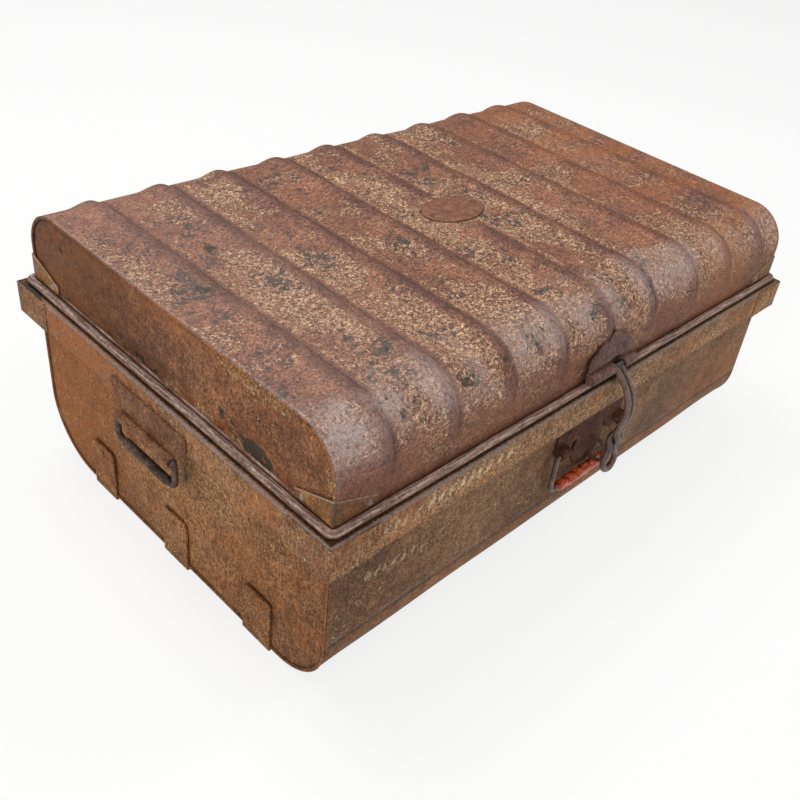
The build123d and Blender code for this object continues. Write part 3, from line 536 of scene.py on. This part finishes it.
def body_end_marks(y, z, depth):
    """Smooth near the bottom, painted shade under the collar, painted shadows by the bail's legs, a few old
    scrapes.
    """
    # Painted shadows beside the bail's legs, and painted shade just under the collar.
    leg_shadows = spots(y, z, (1.0, (-26, 125), (3.2, 13)), (0.8, (70, 112), (3.2, 9)))
    shaded = 0.14 * smooth(y, -110, -200) + 0.14 * smooth(y, 40, 150)
    scrapes = 0.35 * smooth(waves(y, z * 0.3, 33, 120), 0.2, 1.0)
    return {
        "smooth": 0.35 * smooth(waves(y, z, 31, 260), 0.0, 0.9),
        "dark": 0.35 * smooth(z, 162, 172) + shaded + 1.1 * np.minimum(leg_shadows, 0.85),
        "rubbed": scrapes + 0.45 * spot(y, z, (-70, 130), (60, 26)),
        "rust": 0.35 * smooth(waves(y, z, 35, 150), 0.1, 1) + 1.0 * smooth(y, 20, 170)}


for side, hand, seed in ((-1, "left", 41), (1, "right", 43)):
    end_panel(f"body_end_{hand}", f"body_{hand}_end", "body", "body_paint", end_paint, side,
              (body_low, body_top), (front_turn, back_turn, sharp, sharp), seed, body_end_marks)

# The collar: a hollow step of folded tin all round the mouth, with a soft upper edge that carries a
# painted grey highlight, and corner plates wrapped over it and riveted. Only its face and soft edges
# are uneven.
collar_paint = painted("collar_paint", [(0.203, 0.089, 0.035), (0.306, 0.150, 0.066), (0.66, 0.50, 0.30),
                                        (0.055, 0.045, 0.04), (0.165, 0.085, 0.047)],
                       (0.5, 0.45, 0.35, 0.70), gloss=0.2, grey=(0.235, 0.205, 0.20))
collar_face, collar_corner = (363.0, 238.0), 4.0
collar_top, collar_low, collar_wide = 204.0, 167.0, 14.0
soft_top, soft_foot = 2.6, 2.5
face_high, face_low = collar_top - soft_top, 172.5


def squared_ring(half_x, half_y, radius, z):
    """Points round a rounded oblong: four quarter arcs joined by evenly divided straight sides."""
    corner_turn = np.radians(np.linspace(0, 90, 9))
    share = np.linspace(0, 1, 180)[1:-1, None]
    arcs = []
    for quarter, (sign_x, sign_y) in enumerate(((1, -1), (1, 1), (-1, 1), (-1, -1))):
        turn = corner_turn + (quarter - 1) * math.pi / 2
        arcs.append(np.stack((sign_x * (half_x - radius) + radius * np.cos(turn),
                              sign_y * (half_y - radius) + radius * np.sin(turn)), -1))
    stretches = []
    for arc, following in zip(arcs, arcs[1:] + arcs[:1]):
        stretches += [arc, arc[-1] + share * (following[0] - arc[-1])]
    flat = np.vstack(stretches)
    return np.column_stack((flat, np.full(len(flat), z)))


def ring(profile, half, radius):
    """A profile of (way in from the face, z) carried round a rounded oblong, as a grid."""
    return np.array([squared_ring(half[0] - inset, half[1] - inset, max(radius - inset, 0.4), z)
                     for inset, z in profile])


edge_turn = np.radians(np.linspace(0, 90, 6))
on_top = [(inset, collar_top) for inset in (collar_wide, 9.0, 4.0, 3.3)]
facing = [(soft_top - soft_top * math.sin(t), face_high + soft_top * math.cos(t)) for t in edge_turn]
facing += [(0.0, z) for z in np.linspace(face_high, face_low, 8)[1:-1]]
facing += [(soft_foot - soft_foot * math.cos(t), face_low - soft_foot * math.sin(t)) for t in edge_turn]
beneath = [(7.0, 169.0), (12.9, collar_low), (collar_wide, collar_low), (collar_wide, 186.0)]
grid = ring(on_top + facing + beneath, collar_face, collar_corner)
x, y, z = np.moveaxis(grid, -1, 0)
loose = np.repeat([0.0, 1.0, 0.0], [len(on_top), len(facing), len(beneath)])[:, None]
uneven = waves(x + y, z, 51, 220, 0.35) * loose
grid[..., 0] += np.where(np.abs(x) > half_length, np.sign(x) * uneven, 0)
grid[..., 1] += np.where(np.abs(x) <= half_length, np.sign(y) * uneven, 0)
outer = np.maximum(np.abs(x) - collar_face[0], np.abs(y) - collar_face[1])
front = y < -half_depth - 5
left_row = smooth(x, -310, -300) * smooth(x, -138, -150) * ridge(z - 0.03 * (x + 220), 190, 7)
right_row = 0.6 * smooth(x, 150, 175) * smooth(x, 270, 230) * ridge(z, 178, 6)
worn_rows = front * strokes(x, z, 97, 90, -0.4) * (left_row + right_row)
broken = 0.72 + 0.28 * smooth(waves(x, z * 0.4, 53, 60), -0.1, 0.7)
worn = front * (smooth(x, -20, 20) * smooth(x, 150, 60) + smooth(x, -120, -60) * smooth(x, -10, -60))
shaded = 0.30 * smooth(z, 176, 168) + 0.88 * smooth(outer, -3.0, -3.9)
end_rust = (0.25 + 1.0 * smooth(y, 0, 130)) * (x < -half_length - 5) + 0.5 * smooth(x, 180, 330)
# pale is a painted highlight along the upper edge; shaded is painted shade in the gap under the bead and
# low on the face.
collar = surface("collar_band", grid, collar_paint, "body", "collar_paint", loops=("rows", "columns"),
                 pale=1.2 * ridge(z, collar_top - 0.8, 1.1) * (outer > -3.0),
                 rubbed=2.4 * worn_rows * broken + 0.3 * worn,
                 dark=shaded + 0.14 * smooth(z, 180, 194) * front * (1 - worn_rows),
                 rust=0.45 * smooth(waves(x + y, z, 55, 150), 0, 1) + end_rust,
                 stain=0.70 * spot(x, y, (-363, 215), 42))
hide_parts("collar_front_strip", "collar_back_strip", "collar_left_strip", "collar_right_strip")
dress(collar_paint, *[name for name in nodes if name.startswith("collar_corner")])

# Three straps of strip iron run under the bottom, turned up the ends and riveted there, and wear
# the same paint as the ends.
dress(end_paint, "runner_front", "runner_middle", "runner_back", "runner_rivets")

# Wrought fittings: plates, rods, pins and rivets of plain iron, dark brown with rust and rubbed
# grey where they wear. The hinge leaves and the plates of the bails and staple are riveted on.
iron = painted("rusty_iron", [(0.078, 0.036, 0.023), (0.150, 0.082, 0.058), (0.27, 0.20, 0.165),
                              (0.030, 0.020, 0.017), (0.10, 0.05, 0.035)],
               (0.25, 0.4, 0.0, 0.32), gloss=0.6, relief=0.6, dullness=0.62)
plate_iron = painted("plate_iron", [(0.095, 0.040, 0.027), (0.150, 0.075, 0.055), (0.26, 0.17, 0.13),
                                    (0.030, 0.022, 0.020), (0.12, 0.055, 0.038)],
                     (0.25, 0.35, 0.0, 0.42), gloss=0.4, relief=0.6)
bail_iron = painted("bail_iron", [(0.052, 0.028, 0.019), (0.120, 0.076, 0.056), (0.24, 0.18, 0.145),
                                  (0.018, 0.013, 0.011), (0.07, 0.035, 0.025)],
                    (0.45, 0.4, 0.0, 0.42), relief=0.7)
dark_plate = painted("dark_plate", [(0.070, 0.026, 0.016), (0.125, 0.053, 0.034), (0.22, 0.13, 0.09),
                                    (0.020, 0.012, 0.010), (0.09, 0.036, 0.024)],
                     (0.25, 0.5, 0.0, 0.5), gloss=0.12, relief=0.7)
handle_paint = painted("handle_paint", [(0.150, 0.064, 0.030), (0.225, 0.105, 0.052), (0.46, 0.30, 0.17),
                                        (0.045, 0.032, 0.026), (0.13, 0.06, 0.034)],
                       (0.25, 0.3, 0.0, 0.50), gloss=0.15, relief=0.6)
dress(iron, "staple", "front_bail", *[name for name in nodes if name.endswith("_pin")])
dress(plate_iron, "hasp_plate_rivets", "oval_plate_rivets", "hinge_body_rivets", "hinge_lid_rivets",
      *[name for name in nodes if name.endswith("leaf")])
dress(bail_iron, "left_bail", "right_bail")
dress(dark_plate, "staple_plate", "staple_plate_rivets")
dress(handle_paint, "left_handle_plate", "right_handle_plate", "left_handle_rivets", "right_handle_rivets")

# The front bail's grip: a strip of red stuff wound round the bar and melted or worn to lumps. It
# is closed at both ends down to the bar.
red_wrap = painted("red_wrap", [(0.36, 0.028, 0.004), (0.68, 0.135, 0.012), (0.85, 0.34, 0.06),
                                (0.030, 0.006, 0.004), (0.40, 0.05, 0.01)],
                   (0.15, 1.0, 0.0, 0.42), gloss=0.5, relief=0.9, dullness=0.28)
bar_y, bar_z, wrap_bore, wrap_girth, half_wrap = -233.5, 88, 2.76, 5.3, 50


def round_bar(u, girth, v):
    """A grid round the bail's bar: (u, y + girth cos v, z + girth sin v)."""
    return np.stack((u, bar_y + girth * np.cos(v), bar_z + girth * np.sin(v)), -1)


near_end = np.array([0, 0.4, 1.2])
far_end = 2 * half_wrap - near_end[::-1]
lengthwise = np.concatenate((near_end, np.linspace(2.4, 97.6, 110), far_end)) - half_wrap
around = np.linspace(0, 2 * math.pi, 40, endpoint=False)
u, v = np.meshgrid(lengthwise, around, indexing="ij")

# The girth swells by a ridge that winds along the bar and by waves, and closes on the bar at its ends.
lumps = 0.9 * np.sin(v - u * 0.24) ** 6 + waves(u, v * 6, 61, 16, 0.55) + waves(u, v * 6, 62, 6, 0.22)
girth = (wrap_girth + lumps * 0.9) * np.sqrt(np.clip(1 - (np.abs(u) / (half_wrap + 0.001)) ** 24, 0.0, 1))
girth[[0, -1]] = wrap_bore
girth = np.maximum(girth, wrap_bore)
wrap = np.vstack((round_bar(u, girth, v), round_bar(u[::-1], wrap_bore, v)[1:-1]))
grip = surface("front_bail_wrap", wrap, red_wrap, "front_bail", "red_wrap",
               loops=("rows", "columns"), inside=np.array([0, bar_y, bar_z]))
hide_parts("front_bail_grip")

# The lid's sheet: one piece of tin bent over from front to back, with nine swaged ribs that rise
# slowly on one side and drop to a crisp crease on the other. The sides of the ribs are rubbed.
lid_paint = painted("lid_paint", [(0.195, 0.080, 0.050), (0.285, 0.122, 0.068), (0.72, 0.46, 0.285),
                                  (0.040, 0.043, 0.044), (0.118, 0.047, 0.033)],
                    (0.80, 0.95, 0.0, 0.66), gloss=0.38, relief=0.7, grey=(0.41, 0.31, 0.29))
lid_low, lid_top, lid_bend = 205.3, 292.0, 44.0
rib_height, rib_crests = 3.8, np.array([-300, -226, -155, -81, -8, 68, 148, 221, 296.0])
lip_width = 3
oval_half = (39.5, 26.5)


def rib_rise(away):
    """A slow rise over 24 mm, a drop over 9 mm to a shallow groove, and level again."""
    slope = np.where(away < 0, smooth(away, -24, 0), 1 - smooth(away, 0, 9))
    return slope - 0.16 * ridge(away, 9.5, 1.5)


def wear_inputs(material):
    """A painted material's tree, and the inputs of the weathered paint in it."""
    tree = material.node_tree
    return tree, next(node for node in tree.nodes if node.type == "GROUP").inputs


section, along = bent_run([(-half_depth, lid_low), (-half_depth, lid_top), (half_depth, lid_top),
                           (half_depth, lid_low)], [lid_bend, lid_bend], 5, 4)

# Each point of the bent section is lifted along its normal by the ribs and a slight waviness, and
# drops at the two ends where the sheet turns down over the end panels.
rib_lines = np.array([-24, -18, -12, -6, -2, 0, 2, 4, 6, 7.4, 8.2, 9, 9.8, 10.6, 12])
lip_lines = half_length - np.array([0, 0.3, 0.8, 1.4, 2.2, 3.2])
even_lines = np.linspace(4 - half_length, half_length - 4, 150)
lines = np.concatenate(((rib_crests[:, None] + rib_lines).ravel(), even_lines, lip_lines, -lip_lines))
x, y = np.meshgrid(np.unique(np.round(lines, 2)), section[:, 0], indexing="ij")
z = np.broadcast_to(section[:, 1], x.shape)
away = x[..., None] - rib_crests
rolled = smooth(z, 216, 258)
by_oval = (1 - smooth(np.abs(y), 28, 42)) * (z > 270)
ribbed = 1 - (np.abs(rib_crests) < 20) * by_oval[..., None]
lift = rib_height * (rib_rise(away) * ribbed).sum(-1) * rolled
lift += waves(x, y, 71, 160, 0.5) * smooth(half_length - np.abs(x), 0, 40) * smooth(z, 206, 230)
lip = np.clip(np.abs(x) - (half_length - lip_width), 0, lip_width)
lift -= lip_width - np.sqrt(lip_width ** 2 - lip ** 2)
grid = np.stack((x, y + along[:, 1] * -lift, z + along[:, 0] * lift), -1)

# Wear: rubbed sides of the ribs, flecks past them and black patches. Painted light as well: a grey
# reflection along the front bend, a highlight along the sheet's edges over the ends, and shade in
# the rib creases and low on the front.
ripple = smooth(waves(x, y * 0.6, 73, 90), -0.6, 0.5)
side_rub = (smooth(away, -10, -2) * smooth(away, 14, 12) * ribbed).sum(-1) * (0.60 + 0.40 * ripple) * rolled
crease = (ridge(away, 9.4, 1.0) * ribbed).sum(-1) * rolled
past = (smooth(away, 9.5, 12) * smooth(away, 24, 14)).sum(-1) * rolled
front_bend = ridge(z, 280, 18) * smooth(y + waves(x, y, 78, 60, 12), -158, -204)
left_bend = front_bend * smooth(x, -255, -300)
foot = smooth(z, 226, 211)
plain = smooth(x, 60, 320)
grain_runs = smooth(waves(x * 5, y, 87, 260), 0.0, 0.9)
flecks = 0.32 * smooth(waves(x, y, 75, 160), -0.4, 0.7) * (1 - 0.8 * plain) + 0.25 * past - 0.10
flecks += 0.35 * plain * grain_runs + 0.85 * front_bend - 0.35 * left_bend
flecks += spots(x, y, (-0.40, (-338, 200), (50, 80)), (-0.35, (-338, -150), (34, 70)), (0.30, (0, 0), 60),
                (0.50, (-254, -45), (45, 40)), (0.45, (-165, -135), (60, 45)))
black = spots(x, y, (0.54, (-312, 84), (14, 25)), (0.56, (-262, 62), (18, 38)), (0.54, (-308, 0), (15, 28)),
              (0.50, (-246, -36), (20, 42)), (0.66, (-242, -155), (7, 10)), (0.44, (-180, 20), (20, 30)),
              (0.42, (-90, -60), (26, 40)))
edge_run = smooth(x, 170, 80) * smooth(x, -335, -290)
black += 0.52 * front_bend * smooth(waves(x, z, 77, 90), -0.5, 0.5) * edge_run
# The front bend's painted grey reflection, strongest at the left.
bend_sheen = 0.80 * front_bend * (1 - 0.6 * smooth(x, 120, 260)) * smooth(waves(x, z, 79, 120), -0.9, 0.3)
bend_sheen += 0.4 * left_bend + 0.15 * smooth(x, -120, -260) * smooth(z, 262, 280)
shaded = 0.45 * crease * (1 - 0.6 * front_bend) + 0.36 * smooth(z, 266, 232) * (y < 0) + 0.15 * side_rub
rust = 0.25 * past + 0.45 * smooth(z, 262, 236) * (y < 0)
rust += 0.80 * plain * smooth(waves(x, y, 81, 130), -0.7, 0.6)
# pale carries the bend's painted reflection and a painted highlight along the sheet's edges over the ends.
lid = surface("lid_sheet_ribbed", grid, lid_paint, "lid", "lid_paint", thick=tin,
              smooth=np.clip(side_rub + 0.75 * foot + 0.1 * plain, 0, 1), rubbed=flecks * (1 - foot),
              dark=shaded, pale=bend_sheen + 0.55 * ridge(np.abs(x), half_length - 1, 1.6),
              stain=black, rust=rust)
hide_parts("lid_sheet")

# The sheet is darker in a thin line just outside the oval plate's edge.
tree, wear = wear_inputs(lid_paint)
scaled = add(tree, "VectorMath", {0: add(tree, "TexCoord").outputs["Object"],
                                  1: (1000 / oval_half[0], 1000 / oval_half[1], 0)}, operation="MULTIPLY")
from_plate = add(tree, "VectorMath", {0: scaled.outputs[0]}, operation="LENGTH").outputs["Value"]
dark_line = step(tree, from_plate, 1.0, 1.07, 0.85, 0.0)
tree.links.new(sums(tree, "ADD", wear["Dark"].links[0].from_socket, dark_line), wear["Dark"])

# The lid's ends: flat pans like the body's, seamed to its sheet in the same way, but darker, with
# the old black paint left in places.
lid_end_paint = painted("lid_end_paint", [(0.172, 0.060, 0.023), (0.285, 0.119, 0.050), (0.60, 0.43, 0.23),
                                          (0.045, 0.034, 0.026), (0.125, 0.052, 0.027)],
                        (0.30, 0.35, 0.12, 0.62), gloss=0.18, relief=0.7)


def lid_end_marks(y, z, depth):
    """Black and olive paint left, rust along the seam, a ring-shaped dent and pale scuffs low down."""
    black = spots(y, z, (0.80, (-128, 219), (40, 13)), (0.50, (-84, 233), (18, 7)),
                  (0.42, (-30, 250), (34, 12)), (0.54, (34, 217), (56, 9)))
    black = black * (1 + 0.30 * waves(y, z * 1.4, 84, 20)) + 0.72 * spot(y, z, (168, 266), (9, 4))
    scuffs = 1.4 * ridge(z, 216, 5) * smooth(waves(y, z * 2, 89, 60), -0.4, 0.5)
    scuffs += 1.1 * smooth(depth, 22, 8) * smooth(y, -40, -90) * smooth(z, 230, 245)
    scuffs += 0.8 * spot(y, z, (8, 212), (44, 6))
    ring_dent = 0.45 * ridge(np.hypot(y + 41, z - 254), 5.5, 1.2)
    grime = 0.52 * spot(y, z, (30, 222), (70, 13))
    return {
        "stain": black,
        "rubbed": scuffs + 0.3 * smooth(waves(y, z, 83, 120), 0.2, 1),
        "dark": ring_dent + 0.55 * smooth(y, -20, 150) + grime,
        "smooth": 0.4 * smooth(waves(y, z, 85, 200), 0, 1),
        "rust": 0.45 * smooth(depth, 30, 6) + 0.8 * smooth(y, 40, 170)}


for side, hand, seed in ((-1, "left", 45), (1, "right", 47)):
    end_panel(f"lid_end_{hand}", f"lid_{hand}_end", "lid", "lid_paint", lid_end_paint, side,
              (lid_low, lid_top), (sharp, sharp, lid_bend, lid_bend), seed, lid_end_marks)

# The lid's lower edge is rolled over a thick wire into a round bead all the way round. Its paint
# is gone: dark metal, scratched bright along the top, that droops a little between the knocks. Its
# lower half is darkened by painted shade.
rim_metal = painted("rim_metal", [(0.188, 0.094, 0.064), (0.274, 0.156, 0.114), (0.56, 0.42, 0.34),
                                  (0.050, 0.035, 0.032), (0.14, 0.07, 0.05)],
                    (0.25, 0.2, 0.0, 0.30), gloss=0.4, relief=0.4, grey=(0.54, 0.42, 0.38))
bead_radius, bead_out, bead_z, bead_corner = 3.8, 4.55, 208.2, 8.5
rim_low, flange_top = 204.3, 212.3
to_wall = bead_out + bead_radius
rim_face = (half_length + to_wall, half_depth + to_wall)

# The profile comes down a flange inside the lid's walls and out under them, goes round the bead,
# which is 320 degrees of a circle, and goes back up the other face of the flange.
bead_turn = np.radians(np.linspace(230, -90, 26))
bead_round = [(bead_radius * (1 - math.cos(t)), bead_z + bead_radius * math.sin(t)) for t in bead_turn]
flange_face = [(to_wall + tin, flange_top), (to_wall + tin, lid_low)]
flange_back = [(to_wall + 2 * tin, rim_low), (to_wall + 2 * tin, flange_top)]
profile = flange_face + bead_round + flange_back
grid = ring(profile, rim_face, bead_corner)
x, y, z = np.moveaxis(grid, -1, 0)
rank = np.broadcast_to(np.arange(len(profile))[:, None], x.shape)
on_bead = (rank >= len(flange_face)) * (rank < len(profile) - len(flange_back))
scratch = smooth(waves((x + y) * 0.12, rank * 1.7, 95, 7), -0.1, 0.7)
worn_dark = smooth(waves((x + y) * 0.12, rank * 1.7, 96, 8), 0.1, 0.8)
droop = (waves(x, y, 91, 190, 0.5) + waves(x, y, 92, 45, 0.22)) * on_bead
grid[..., 2] += np.maximum(droop, -0.2)
top_side = smooth(z, bead_z - 1.5, bead_z + 2.5)
# Painted shade on the bead's lower half.
underside_shade = smooth(z, bead_z - 0.4, bead_z - 2.4)
rim_rust = ridge(z, bead_z - 0.8, 1.6) * smooth(waves(x, y, 94, 90), -0.4, 0.6)
rim = surface("lid_rim_bead", grid, rim_metal, "lid", "lid_paint", loops=("rows", "columns"),
              dark=(0.9 * underside_shade + 0.35 * worn_dark) * on_bead, rubbed=0.25 * top_side,
              pale=1.1 * scratch * top_side, rust=0.6 * rim_rust)
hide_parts("lid_rim")
dress(rim_metal, "lid_rim_wire")

# A brassy gusset is folded round each corner of the lid, just above the bead, and riveted through
# each leg. Its sloping top edge is worn pale, its fold is rubbed smooth, and its leg on the long
# side is darker. Its sizes here are in metres, as a material reads places.
gusset_metal = painted("gusset_metal", [(0.225, 0.090, 0.023), (0.370, 0.170, 0.048), (0.42, 0.27, 0.12),
                                        (0.050, 0.035, 0.022), (0.105, 0.048, 0.034)],
                       (0.3, 0.3, 0.0, 0.45), gloss=0.4, grey=(0.42, 0.31, 0.25))
rivet_iron = painted("rivet_iron", [(0.20, 0.130, 0.105), (0.30, 0.21, 0.175), (0.50, 0.40, 0.35),
                                    (0.06, 0.045, 0.04), (0.2, 0.12, 0.09)],
                     (0.2, 0.2, 0.0, 0.35), gloss=0.5, relief=0.4)
fold_sum = (half_length + half_depth + 2 * tin) * 0.001
gusset_top, gusset_slope = 0.2375, 17 / 45
long_side = (0.2252, 0.2258)
tree, wear = wear_inputs(gusset_metal)
apart = add(tree, "SeparateXYZ", {0: add(tree, "TexCoord").outputs["Object"]}).outputs
away_x, away_y = (sums(tree, "ABSOLUTE", apart[axis], 0.0) for axis in (0, 1))
from_fold = sums(tree, "SUBTRACT", fold_sum, sums(tree, "ADD", away_x, away_y))
top_edge_z = sums(tree, "SUBTRACT", gusset_top, sums(tree, "MULTIPLY", from_fold, gusset_slope))
from_edge = sums(tree, "ABSOLUTE", sums(tree, "SUBTRACT", apart[2], top_edge_z), 0.0)
tree.links.new(step(tree, from_edge, 0.0004, 0.0014, 0.95, 0.0), wear["Pale"])
tree.links.new(step(tree, from_fold, 0.001, 0.007, 0.9, 0.0), wear["Smooth"])
tree.links.new(step(tree, away_y, *long_side, 0.0, 0.45), wear["Dark"])
dress(gusset_metal, *[name for name in nodes if name.startswith("lid_gusset")])
dress(rivet_iron, "gusset_rivets")

# The oval plate on top of the lid is a blank of thin brown metal, flat and nearly clean, riveted
# down at its two ends.
oval_metal = painted("oval_metal", [(0.180, 0.068, 0.041), (0.222, 0.092, 0.053), (0.42, 0.26, 0.17),
                                    (0.07, 0.055, 0.05), (0.2, 0.09, 0.06)],
                     (0.15, 0.2, 0.0, 0.25), gloss=0.35)
dress(oval_metal, "oval_plate")

# The hasp plate is heavy plate cut to lobes, its foot rolled round the pin. The hasp is one rod
# folded double over that pin: it bows out, twists once and opens into an eye.
dress(plate_iron, "hasp_plate")
strand, strand_gap, eye_half, hasp_x = 3.5, 3.6, 10.0, 9.0
pin_y, pin_z = -234.3, 218.5
knuckle_girth, knuckle_half = 4.7, 4.2


def rod(path, tangents, girth, sides=20):
    """A round rod: each point of the path plus its girth times (cos, sin) across the way it runs.

    The first way across is square to Y. The ends are closed by quarter-round caps.
    """
    first = np.cross(tangents, (0, 1, 0))
    first /= np.linalg.norm(first, axis=1)[:, None]
    second = np.cross(first, tangents)
    girth = np.broadcast_to(girth, len(path))
    cap = np.radians([90, 60, 30])
    reach = np.concatenate((-girth[0] * np.sin(cap), np.zeros(len(path)), girth[-1] * np.sin(cap[::-1])))
    index = np.concatenate((np.zeros(3, int), np.arange(len(path)), np.full(3, len(path) - 1)))
    narrow = np.concatenate((np.cos(cap), np.ones(len(path)), np.cos(cap[::-1])))
    turn = np.linspace(0, 2 * math.pi, sides, endpoint=False)[None, :, None]
    across = np.cos(turn) * first[index][:, None] + np.sin(turn) * second[index][:, None]
    centre = path[index] + reach[:, None] * tangents[index]
    return centre[:, None] + (girth[index] * narrow)[:, None, None] * across


# The rod's two strands are core + out and core - out, where out is the spread, turned by the twist.
# The spread opens to the eye, which is closed by a half circle.
spine_corners, spine_bends = [(pin_y, pin_z), (-264.7, 191.6), (-251.5, 131.0), (-253.6, 107.0)], [45, 12]
spine, spine_run = bent_run(spine_corners, spine_bends, 2, 1.5)
walked = np.concatenate(([0], np.cumsum(np.linalg.norm(np.diff(spine, axis=0), axis=1))))
to_end = walked[-1] - walked
tip_turn = np.radians(np.linspace(0, 90, 12))[1:]
spine = np.vstack((spine, spine[-1] + eye_half * np.sin(tip_turn)[:, None] * spine_run[-1]))
spine_run = np.vstack((spine_run, np.tile(spine_run[-1], (len(tip_turn), 1))))
spread = strand_gap + (eye_half - strand_gap) * smooth(to_end, 16, 3)
spread = np.concatenate((spread, eye_half * np.cos(tip_turn)))
twist = math.pi * np.concatenate((smooth(to_end, 44, 18), np.ones(len(tip_turn))))
sideways = np.stack((np.cos(twist), np.sin(twist) * -spine_run[:, 1], np.sin(twist) * spine_run[:, 0]), -1)
out = spread[:, None] * sideways
core = np.column_stack((np.full(len(spine), hasp_x), spine))
path = np.vstack((core + out, (core - out)[-2::-1]))
tangents = np.gradient(path, axis=0)
tangents /= np.linalg.norm(tangents, axis=1)[:, None]
rank = np.arange(len(path))
girth = strand * (1 + 0.03 * np.sin(rank * 0.7) + 0.03 * np.sin(rank * 0.31 + 2))
strands = rod(path, tangents, girth)

# Painted shade darkens the groove between the strands where they run close together.
across = np.vstack((-out, out[-2::-1]))
across /= np.linalg.norm(across, axis=1)[:, None]
close = np.concatenate((spread, spread[-2::-1])) < 6
faced = ((strands[3:-3] - path[:, None]) * across[:, None]).sum(-1) / girth[:, None]
groove = np.pad(smooth(faced, 0.25, 0.8) * close[:, None], ((3, 3), (0, 0)))
hasp = surface("hasp_rod", strands, iron, "hasp", "rod_iron", loops=("columns",),
               inside=np.array([hasp_x, -250, 150]), dark=0.95 * groove, rubbed=0.25)
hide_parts("hasp")

# The knuckle is the turn of the same rod round the pin, between the two barrels of the plate's
# foot. Painted shadow darkens its upper front side.
on_pin = np.array([hasp_x, pin_y, pin_z])
knuckle_path = on_pin + np.linspace(-knuckle_half, knuckle_half, 5)[:, None] * (1, 0, 0)
knuckle = rod(knuckle_path, np.tile((1.0, 0, 0), (5, 1)), knuckle_girth, sides=28)
# Painted shadow on the knuckle's upper front side.
knuckle_shadow = smooth(knuckle[..., 2] * 0.7 - knuckle[..., 1] * 0.3, 222.4, 224.4)
surface("hasp_knuckle", knuckle, iron, "hasp", "rod_iron", loops=("columns",),
        inside=on_pin, dark=1.22 * knuckle_shadow)
